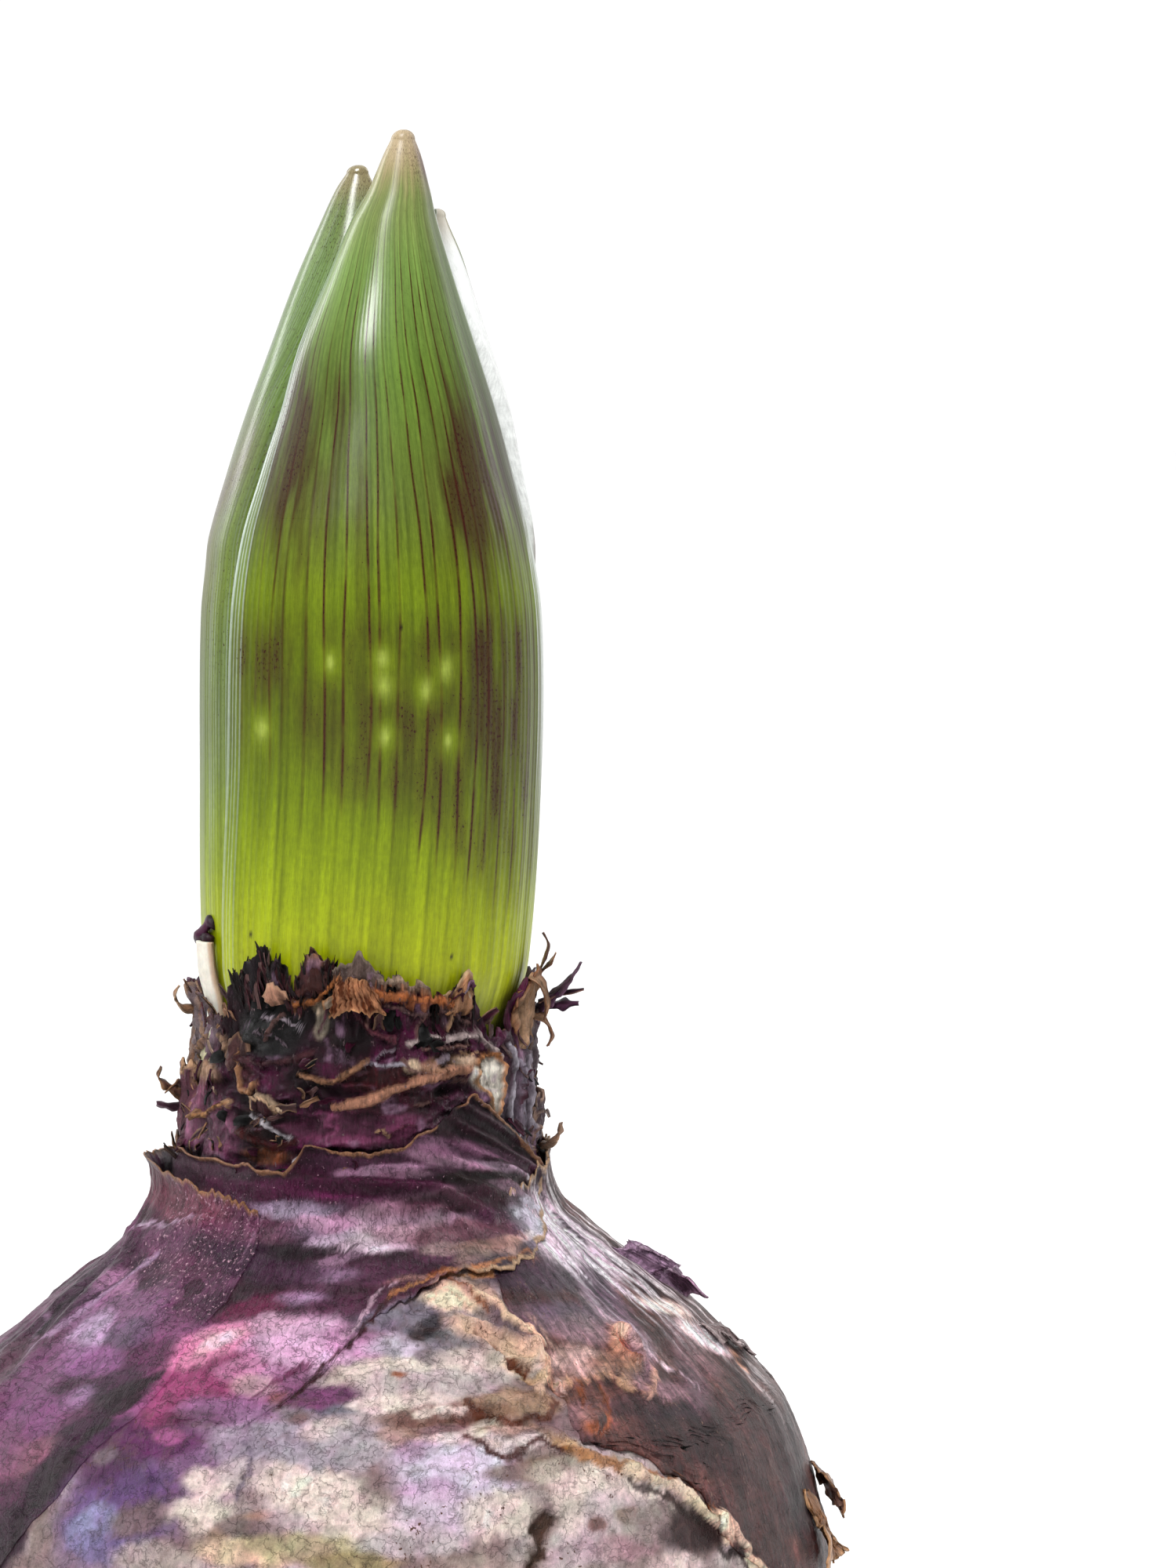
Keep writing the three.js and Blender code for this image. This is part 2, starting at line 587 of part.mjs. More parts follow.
// One leaf: a boat-shaped blade, thick along its back, with thin margins and a hooded tip.
// A spread above 0 gives the space round the leaf, to cut its neighbours clear of it.
function leafSolid(leaf, spread) {
  const [tipX, tipY, tipZ] = leaf.tip;
  const topRow = Math.min(leaf.halfX[leaf.halfX.length - 1][0], tipZ - 0.3);
  const footZ = LEAF_FOOT - (spread > 0 ? 1 : 0);
  const face = (depth) => (u, v) => {
    if (v > 1 - 1e-6) return new THREE.Vector3(tipX, tipY, tipZ + spread);
    const z = lerp(footZ, topRow, Math.min(1, v * (1 + 1 / (LEAF_ROWS - 1))) ** 0.8);
    const halfX = curve(leaf.halfX, z);
    const halfY = curve(leaf.halfY, z);
    const reach = THREE.MathUtils.radToDeg(spread / halfX);
    const angle = lerp(curve(leaf.from, z) - reach, curve(leaf.to, z) + reach, u);
    const across = Math.sin(Math.PI * u) ** 0.6;
    const full = Math.min(curve(leaf.thickness, z), 0.62 * halfX);
    const thickness = lerp(Math.min(LEAF_MARGIN, full), full, across);
    const ribbed = spread > 0 ? 0 : Math.round(u * LEAF_COLUMNS) % 2;
    const rib = LEAF_RIB_HEIGHT * ribbed * smoothstep(halfX, 1, 4);
    const inset = depth * thickness + (depth ? spread : -spread) - (depth ? 0 : rib);
    const a = radians(angle);
    const x = curve(leaf.centreX, z) + Math.max(halfX - inset, 0.15) * Math.sin(a);
    const y = curve(leaf.centreY, z) - Math.max(halfY - inset, 0.12) * Math.cos(a);
    return new THREE.Vector3(x, y, z);
  };
  return toSolid(sheetGeometry(LEAF_COLUMNS, LEAF_ROWS, face(0), face(1)));
}

// The leaves, each cut clear of the ones that clasp it.
function leaves() {
  const front = leafSolid(LEAVES.leaf_front, 0);
  const back = leafSolid(LEAVES.leaf_back, 0).subtract(leafSolid(LEAVES.leaf_front, GAP));
  const left = leafSolid(LEAVES.leaf_left, 0)
    .subtract(leafSolid(LEAVES.leaf_front, GAP))
    .subtract(leafSolid(LEAVES.leaf_back, GAP));
  return { leaf_front: front, leaf_back: mainBody(back), leaf_left: mainBody(left) };
}

function material(color, roughness) {
  return new THREE.MeshStandardMaterial({ color, roughness, metalness: 0 });
}

const MATERIALS = {
  leaf: material(0x5f8f22, 0.35),
  skin: material(0x8d7a80, 0.6),
  purple: material(0x6b3550, 0.5),
  brown: material(0x6a5550, 0.55),
  tips: material(0x33222a, 0.7),
  cork: material(0x8a6a48, 0.9),
};

const bulb = new THREE.Group();

function place(name, geometry, finish) {
  const mesh = new THREE.Mesh(geometry, finish);
  mesh.name = name;
  geometry.computeVertexNormals();
  bulb.add(mesh);
}

place("basal_plate", basalPlate(), MATERIALS.cork);
place("bulb_body", bulbBody(), MATERIALS.skin);
place("tunic_right", rightTunic(), MATERIALS.brown);
place("tunic_collar", collarTunic(), MATERIALS.purple);
place("tunic_left", leftTunic(), MATERIALS.purple);
place("neck_scales", neckScales(), MATERIALS.tips);
Object.entries(leaves()).forEach(([name, solid]) => place(name, toGeometry(solid), MATERIALS.leaf));

export default bulb;
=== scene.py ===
import bpy
import numpy as np
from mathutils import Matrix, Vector

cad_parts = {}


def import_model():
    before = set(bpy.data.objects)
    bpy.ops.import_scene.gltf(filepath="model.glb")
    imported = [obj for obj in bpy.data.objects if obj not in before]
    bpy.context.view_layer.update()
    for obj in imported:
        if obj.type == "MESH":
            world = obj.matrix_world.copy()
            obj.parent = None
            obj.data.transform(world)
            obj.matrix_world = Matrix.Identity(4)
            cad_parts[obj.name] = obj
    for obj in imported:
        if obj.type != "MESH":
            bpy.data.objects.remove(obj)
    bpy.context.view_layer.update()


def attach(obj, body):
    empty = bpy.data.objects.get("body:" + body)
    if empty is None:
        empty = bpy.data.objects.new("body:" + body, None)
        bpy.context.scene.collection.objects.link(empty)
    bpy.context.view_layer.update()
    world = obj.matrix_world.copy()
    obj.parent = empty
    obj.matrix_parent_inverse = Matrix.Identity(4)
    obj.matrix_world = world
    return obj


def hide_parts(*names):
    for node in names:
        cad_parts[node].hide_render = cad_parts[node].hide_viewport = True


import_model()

MM = 0.001


# Shapes shared with the solids

# The fleshy body: height and radius
BODY_PROFILE = [
    [2.2, 8.6], [5.5, 14.8], [11, 21.4], [18, 25.7], [27, 27.1], [35, 26.0], [41, 23.3], [45.5, 19.4],
    [49, 15.0], [51, 12.7], [52.5, 11.2], [54, 10.3], [56, 10.0], [61, 10.5],
]
# How far the neck leans towards +X, by height
NECK_LEAN = [[56, 0], [66, 0.6]]
TUNIC_FOOT = 5.2
# The tunics' side edges, by height and direction, and their rims and hem, by direction and height
RIGHT_FRONT_EDGE = [
    [6, 40], [10, 45], [16, 48], [22, 55], [28, 62], [32.8, 59], [35.1, 51], [37.8, 49], [39.7, 43],
    [40.8, 33], [43, 34], [44.8, 32], [48.5, 33], [50.3, 37], [53, 45],
]
RIGHT_BACK_ANGLE = 195
RIGHT_RIM = [[33, 53], [45, 53], [72, 54.2], [90, 55.4], [130, 55.6], [160, 54.6], [195, 54.8]]
LEFT_FRONT_EDGE = [
    [5, -38], [8, -42], [13, -48], [19, -54], [25, -56], [30, -52], [34.1, -46], [36.7, -41],
    [39.2, -37], [42.2, -31.5], [46.5, -29.5], [48.5, -26.5], [50.5, -24.7], [52.5, -29],
]
LEFT_BACK_ANGLE = -190
LEFT_RIM = [
    [-190, 51.5], [-165, 53.2], [-140, 52.4], [-110, 54.2], [-80, 53.8], [-53, 53.1], [-24, 52.4],
]
COLLAR_ANGLES = [-150, 72]
COLLAR_RIM = [
    [-150, 56.2], [-100, 56.0], [-69, 55.3], [-40, 55.0], [-21, 54.7], [-15, 56.5], [5, 56.0],
    [17.6, 56.6], [29, 57.7], [38, 59.2], [56, 56.8], [72, 54.0],
]
COLLAR_HEM = [
    [-150, 47.5], [-60, 46], [-32, 42.5], [-15, 42], [-7, 44.2], [5, 47.8], [12, 48.6], [22, 49.5],
    [37, 49.7], [48, 50.2], [60, 51.4], [72, 53.4],
]
LEFT_FLARE = {"angle": -84, "spread": 30, "lift": 1.5, "from": 49, "to": 54}
LEAF_FOOT = 53.3
# Each leaf is part of an oval tube: its centre, half widths and thickness by height, and the directions
# between which it stands.
LEAVES = {
    "leaf_front": {
        "tip": [2.7, -0.9, 114.0],
        "centreX": [[53, 0.2], [62, 0.3], [66, 0.35], [78, 0.75], [86, 0.87], [90.6, 0.98], [94.3, 1.24],
                    [97.9, 1.52], [101.5, 1.6], [105.2, 1.87], [108.8, 2.14], [110.6, 2.45], [114, 2.7]],
        "centreY": [[53, 0], [86, 0], [94.3, -0.3], [101.5, -0.6], [110.6, -0.8], [114, -0.9]],
        "halfX": [[53, 6.9], [57, 7.1], [60, 7.7], [62.5, 8.5], [66, 9.5], [78, 9.9], [86, 9.75],
                  [90.6, 8.95], [94.3, 7.7], [97.9, 6.45], [101.5, 5.25], [105.2, 3.8], [108.8, 2.46],
                  [110.6, 1.75], [112.5, 1.1], [113.4, 0.7]],
        "halfY": [[53, 6.2], [57, 6.5], [60, 7.0], [62.5, 7.5], [66, 8.2], [78, 8.7], [86, 8.5],
                  [90.6, 7.9], [94.3, 6.9], [97.9, 5.8], [101.5, 4.7], [105.2, 3.4], [108.8, 2.3],
                  [110.6, 1.7], [112.5, 1.05], [113.4, 0.65]],
        "from": [[53, -60], [66, -58], [78, -55], [90.6, -57], [97.9, -65], [105.2, -76], [110.6, -87],
                 [114, -92]],
        "to": [[53, 96], [90, 97], [104, 92], [114, 92]],
        "thickness": [[53, 1.5], [66, 1.9], [90, 1.8], [104, 1.4], [114, 0.9]],
    },
    "leaf_left": {
        "tip": [0.05, 1.2, 112.0],
        "centreX": [[53, 0.1], [66, 0.1], [86, 0.1], [90.6, 0.0], [97.9, -0.2], [105.2, -0.2],
                    [110.6, 0.0], [112, 0.05]],
        "centreY": [[53, 0.2], [90, 0.3], [101.5, 0.8], [108, 1.2], [112, 1.2]],
        "halfX": [[53, 6.5], [57, 6.9], [60, 7.6], [62.5, 8.3], [66, 9.1], [78, 9.25], [86, 9.15],
                  [88.8, 8.85], [90.6, 8.6], [94.3, 7.45], [97.9, 6.2], [101.5, 4.85], [105.2, 3.5],
                  [108.8, 2.05], [110.6, 1.27], [111.5, 0.7]],
        "halfY": [[53, 5.8], [60, 6.3], [66, 7.0], [78, 7.4], [86, 7.2], [90.6, 6.8], [94.3, 5.8],
                  [97.9, 4.8], [101.5, 3.7], [105.2, 2.7], [108.8, 1.6], [110.6, 1.0], [111.5, 0.6]],
        "from": [[53, -176], [86, -176], [97.9, -182], [112, -190]],
        "to": [[53, -28], [90, -28], [97.9, -12], [104, 20], [112, 60]],
        "thickness": [[53, 1.3], [66, 1.7], [90, 1.6], [104, 1.2], [112, 0.7]],
    },
    "leaf_back": {
        "tip": [4.5, 2.0, 109.5],
        "centreX": [[53, 0.2], [66, 0.4], [78, 0.6], [88, 0.7], [94.3, 1.3], [97.9, 2.0], [101.5, 2.7],
                    [105.2, 3.5], [107, 4.0], [109.5, 4.5]],
        "centreY": [[53, 0.2], [86, 0.3], [97.9, 0.9], [105.2, 1.7], [109.5, 2.0]],
        "halfX": [[53, 6.6], [57, 7.0], [60, 7.6], [62.5, 8.3], [66, 9.1], [78, 9.7], [88, 9.6],
                  [90.6, 9.35], [94.3, 8.2], [97.9, 6.8], [101.5, 5.0], [105.2, 3.0], [107, 1.9],
                  [108.4, 1.0], [109.0, 0.65]],
        "halfY": [[53, 6.2], [60, 6.9], [66, 7.7], [78, 8.3], [88, 8.0], [90.6, 7.6], [94.3, 6.7],
                  [97.9, 5.5], [101.5, 4.1], [105.2, 2.5], [107, 1.6], [108.4, 0.9], [109.0, 0.6]],
        "from": [[53, 74], [90, 74], [94.3, 66], [97.9, 57], [101.5, 50], [105.2, 40], [107, 24],
                 [109.5, 12]],
        "to": [[53, 206], [86, 206], [97.9, 214], [109.5, 240]],
        "thickness": [[53, 1.5], [66, 1.8], [90, 1.7], [104, 1.2], [109.5, 0.8]],
    },
}


def curve(points, x):
    """A smooth curve through [x, y] points, flat beyond its ends."""
    table = np.array(points, float)
    last = len(table) - 1
    x = np.clip(np.asarray(x, float), table[0, 0], table[last, 0])
    before = np.maximum(np.arange(last + 1) - 1, 0)
    after = np.minimum(np.arange(last + 1) + 1, last)
    slope = (table[after, 1] - table[before, 1]) / (table[after, 0] - table[before, 0])
    i = np.clip(np.searchsorted(table[:, 0], x, side="right") - 1, 0, last - 1)
    span = table[i + 1, 0] - table[i, 0]
    t = (x - table[i, 0]) / span
    t2 = t * t
    t3 = t2 * t
    return (
        (2 * t3 - 3 * t2 + 1) * table[i, 1] + (t3 - 2 * t2 + t) * span * slope[i]
        + (3 * t2 - 2 * t3) * table[i + 1, 1] + (t3 - t2) * span * slope[i + 1]
    )


def torn(points, x):
    """Straight lines through [x, y] points."""
    table = np.array(points, float)
    return np.interp(x, table[:, 0], table[:, 1])


def smoothstep(x, low, high):
    t = np.clip((x - low) / (high - low), 0, 1)
    return t * t * (3 - 2 * t)


def bell(x):
    return np.exp(-x * x)


def lerp(a, b, t):
    return a + (b - a) * t


def swell(angle, z):
    """The bulb isn't quite round: its shoulder is lower at -X, and its sides swell a little."""
    a = np.radians(angle)
    return (
        0.8 * np.sin(a) * bell((z - 46.5) / 6) + 0.35 * np.sin(2 * a + 1) * bell((z - 25) / 14)
        + 0.25 * np.sin(3 * a + 2) * bell((z - 36) / 9)
    )


def around(angle, radius, z):
    a = np.radians(angle)
    return np.stack(np.broadcast_arrays(radius * np.sin(a), -radius * np.cos(a), z), axis=-1)


def on_bulb(angle, z, lift):
    """The point at a height of the bulb's surface, lifted off it along its normal."""
    angle, z, lift = np.broadcast_arrays(angle, z, lift)
    r = curve(BODY_PROFILE, z) + swell(angle, z)
    slope = (curve(BODY_PROFILE, z + 0.05) - curve(BODY_PROFILE, z - 0.05)) / 0.1
    n = np.hypot(1, slope)
    return around(angle, r + lift / n, z - lift * slope / n)


# Noise, drawn from hashed cells, so that every run draws the same

def cell_value(cells, seed):
    x, y, z = (cells[..., k].astype(np.int64) for k in range(3))
    n = (x * 374761393 + y * 668265263 + z * 1440662683 + seed * 974634777) & 0xFFFFFFFF
    n = ((n ^ (n >> 13)) * 1274126177) & 0xFFFFFFFF
    return ((n ^ (n >> 16)) & 0xFFFF) / 65535.0


def noise(points, size, seed):
    """Smooth noise from -1 to 1 with features of about the given size."""
    q = points / size
    cell = np.floor(q)
    f = q - cell
    f = f * f * (3 - 2 * f)
    total = 0
    for corner in np.ndindex(2, 2, 2):
        weight = 1
        for k in range(3):
            weight = weight * (f[..., k] if corner[k] else 1 - f[..., k])
        total = total + weight * cell_value(cell + corner, seed)
    return 2 * total - 1


def cloud(points, size, seed, octaves=4):
    """Layers of noise, each half the size and half the strength of the last, from about -1 to 1."""
    total = 0
    for k in range(octaves):
        total = total + noise(points, size / 2**k, seed + 17 * k) / 2**k
    return total / 1.6


def ridged(values):
    """Noise folded into sharp crests."""
    return 1 - 2 * np.abs(values)


def line_noise(x, size, seed):
    """Noise along one list of numbers."""
    x = np.asarray(x, float)
    return noise(np.stack([x, 0 * x, 0 * x], axis=-1), size, seed)


# Colours are written as they look in the studio's light, and mixed in linear light

STUDIO_GAIN = 1.08
STUDIO_HAZE = 0.018


def tone(red, green, blue):
    c = np.array([red, green, blue]) / 255
    seen = np.where(c <= 0.04045, c / 12.92, ((c + 0.055) / 1.055) ** 2.4)
    return np.maximum(seen / STUDIO_GAIN - STUDIO_HAZE, 0.002)


def mix(colour, mask, other):
    """A colour, or one for each point, with a share of another colour."""
    return colour + np.asarray(mask)[..., None] * (other - colour)


# Places on the bulb

ARC_HEIGHTS = np.linspace(2.2, 70, 1400)
ARC_RADII = curve(BODY_PROFILE, ARC_HEIGHTS)
ARC_LENGTHS = np.concatenate([[0], np.cumsum(np.hypot(np.diff(ARC_HEIGHTS), np.diff(ARC_RADII)))])


def arc_length(z):
    """The way up the bulb's surface to a height."""
    return np.interp(z, ARC_HEIGHTS, ARC_LENGTHS)


FAR = 99.0
SOFT_EDGE = 0.3
WANDER_SEEDS = (5, 7)


class Place:
    """Points on the bulb by direction and height, with wandering copies for ragged edges of colour."""

    def __init__(self, angle, z, wander=1.0):
        self.angle, self.z = np.broadcast_arrays(np.asarray(angle, float), np.asarray(z, float))
        self.radius = curve(BODY_PROFILE, self.z)
        self.points = around(self.angle, self.radius, self.z)
        self.arc = arc_length(self.z)
        self.shift_right, self.shift_up = (
            wander * (0.6 * cloud(self.points, 1.7, seed) + 0.35 * cloud(self.points, 0.5, seed + 1, 2))
            for seed in WANDER_SEEDS
        )

    def offset(self, angle, z, wander=1.0):
        """How far each point lies from a place: to the right and up the surface."""
        right = np.radians(self.angle - angle) * self.radius + wander * self.shift_right
        return right, self.arc + wander * self.shift_up - arc_length(z)

    def ring_distance(self, angle, z, wide, high, tilt=0):
        """Distance from a place as a share of an oval's size. Small ovals wander less and keep their form."""
        right, up = self.offset(angle, z, np.clip(min(wide, high) / 1.6, 0.3, 1))
        c, s = np.cos(np.radians(tilt)), np.sin(np.radians(tilt))
        return np.hypot((right * c + up * s) / wide, (up * c - right * s) / high)

    def blob(self, *oval):
        """1 inside an oval, 0 outside, with a soft edge."""
        return 1 - smoothstep(self.ring_distance(*oval), 1 - SOFT_EDGE, 1 + SOFT_EDGE)

    def line_distance(self, path):
        """Distance from a path of [direction, height] points."""
        nearest = np.full(self.angle.shape, FAR)
        for start, end in zip(path[:-1], path[1:]):
            right, up = self.offset(*start)
            to_right = np.radians(end[0] - start[0]) * self.radius
            to_up = arc_length(end[1]) - arc_length(start[1])
            length = np.maximum(to_right**2 + to_up**2, 1e-6)
            t = np.clip((right * to_right + up * to_up) / length, 0, 1)
            nearest = np.minimum(nearest, np.hypot(right - t * to_right, up - t * to_up))
        return nearest

    def stroke(self, path, width):
        return 1 - smoothstep(self.line_distance(path), 0.25 * width, 0.6 * width)


# Meshes

class Pile:
    """Sheets gathered into one mesh. Each point has a colour, a place for the noise, a gloss and flecks."""

    def __init__(self):
        self.points, self.faces, self.colours, self.places, self.gloss, self.flecks = [], [], [], [], [], []
        self.count = 0

    def add(self, points, faces, colours, places, gloss=0.0, flecks=0.0):
        """Adds faces between grids of points, with values for each point or one for all."""
        points = points.reshape(-1, 3)
        n = len(points)
        self.points.append(points)
        self.faces.append(faces + self.count)
        for kept, values in ((self.colours, colours), (self.places, places)):
            kept.append(np.broadcast_to(np.reshape(values, (-1, 3)), (n, 3)))
        for kept, values in ((self.gloss, gloss), (self.flecks, flecks)):
            kept.append(np.broadcast_to(np.reshape(values, -1), (n,)))
        self.count += n

    def make(self, name, material, slot, *nodes):
        points = np.concatenate(self.points) * MM
        mesh = bpy.data.meshes.new(name)
        mesh.from_pydata(points, [], np.concatenate(self.faces).tolist())
        colours = np.clip(np.concatenate(self.colours), 0, 1)
        colours = np.concatenate([colours, np.ones((len(points), 1))], axis=1)
        mesh.attributes.new("tint", "FLOAT_COLOR", "POINT").data.foreach_set("color", colours.ravel())
        places = np.concatenate(self.places).astype(np.float32)
        mesh.attributes.new("place", "FLOAT_VECTOR", "POINT").data.foreach_set("vector", places.ravel())
        for key, values in (("gloss", self.gloss), ("flecks", self.flecks)):
            values = np.concatenate(values).astype(np.float32)
            mesh.attributes.new(key, "FLOAT", "POINT").data.foreach_set("value", values)
        mesh.polygons.foreach_set("use_smooth", np.ones(len(mesh.polygons), bool))
        mesh.materials.append(material)
        piece = bpy.data.objects.new(name, mesh)
        bpy.context.collection.objects.link(piece)
        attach(piece, "root")
        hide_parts(*nodes)
        return piece


def grid_faces(rows, columns, closed=False):
    """Quads of a grid of rows and columns of points, whose last column may join the first."""
    j, i = np.meshgrid(np.arange(rows - 1), np.arange(columns if closed else columns - 1), indexing="ij")
    k = (i + 1) % columns
    corners = [j * columns + i, j * columns + k, (j + 1) * columns + k, (j + 1) * columns + i]
    return np.stack(corners, axis=-1).reshape(-1, 4)


def sheet_faces(rows, columns):
    """Quads of a closed sheet: an outer grid, an inner grid after it, and the four edges."""
    outer = grid_faces(rows, columns)
    shift = rows * columns
    inner = outer[:, ::-1] + shift
    j = np.arange(rows - 1) * columns
    i = np.arange(columns - 1)
    top = (rows - 1) * columns + i
    right = j + columns - 1
    edges = [
        np.stack([j + columns, j + columns + shift, j + shift, j], axis=-1),
        np.stack([right, right + shift, right + columns + shift, right + columns], axis=-1),
        np.stack([i, i + shift, i + 1 + shift, i + 1], axis=-1),
        np.stack([top + 1, top + 1 + shift, top + shift, top], axis=-1),
    ]
    return np.concatenate([outer, inner] + edges)


def sheet_grid(rows, columns):
    """Shares from 0 to 1 across a sheet and along it."""
    return np.meshgrid(np.linspace(0, 1, columns), np.linspace(0, 1, rows))


def both(values):
    """The same values for the outer and the inner face of a sheet."""
    return np.concatenate([values, values])


# Colours of the bulb, named by what they are

CREAM = tone(226, 208, 200)
WARM_CREAM = tone(226, 196, 168)
PALE_LILAC = tone(210, 196, 215)
GREY_WHITE = tone(190, 174, 176)
GREY = tone(142, 128, 136)
BLUE_GREY = tone(108, 108, 126)
CHARCOAL = tone(50, 42, 50)
OLIVE_YELLOW = tone(184, 170, 140)
TAN = tone(172, 122, 84)
PALE_TAN = tone(208, 170, 136)
RUST = tone(118, 62, 38)
DARK_BROWN = tone(66, 42, 34)
ROSE_BROWN = tone(130, 82, 92)
PLUM = tone(76, 38, 60)
DARK_PLUM = tone(62, 36, 54)
MAGENTA = tone(158, 78, 118)
VIOLET = tone(112, 82, 124)
BLUE_VIOLET = tone(130, 119, 158)
BROWN = tone(112, 82, 78)
# SHEEN is the colour of a painted highlight.
SHEEN = tone(212, 206, 220)
NECK_BLACK = tone(52, 30, 44)
NECK_PLUM = tone(92, 42, 70)
BARK_GREY = tone(96, 82, 80)
FLESH = tone(246, 238, 224)

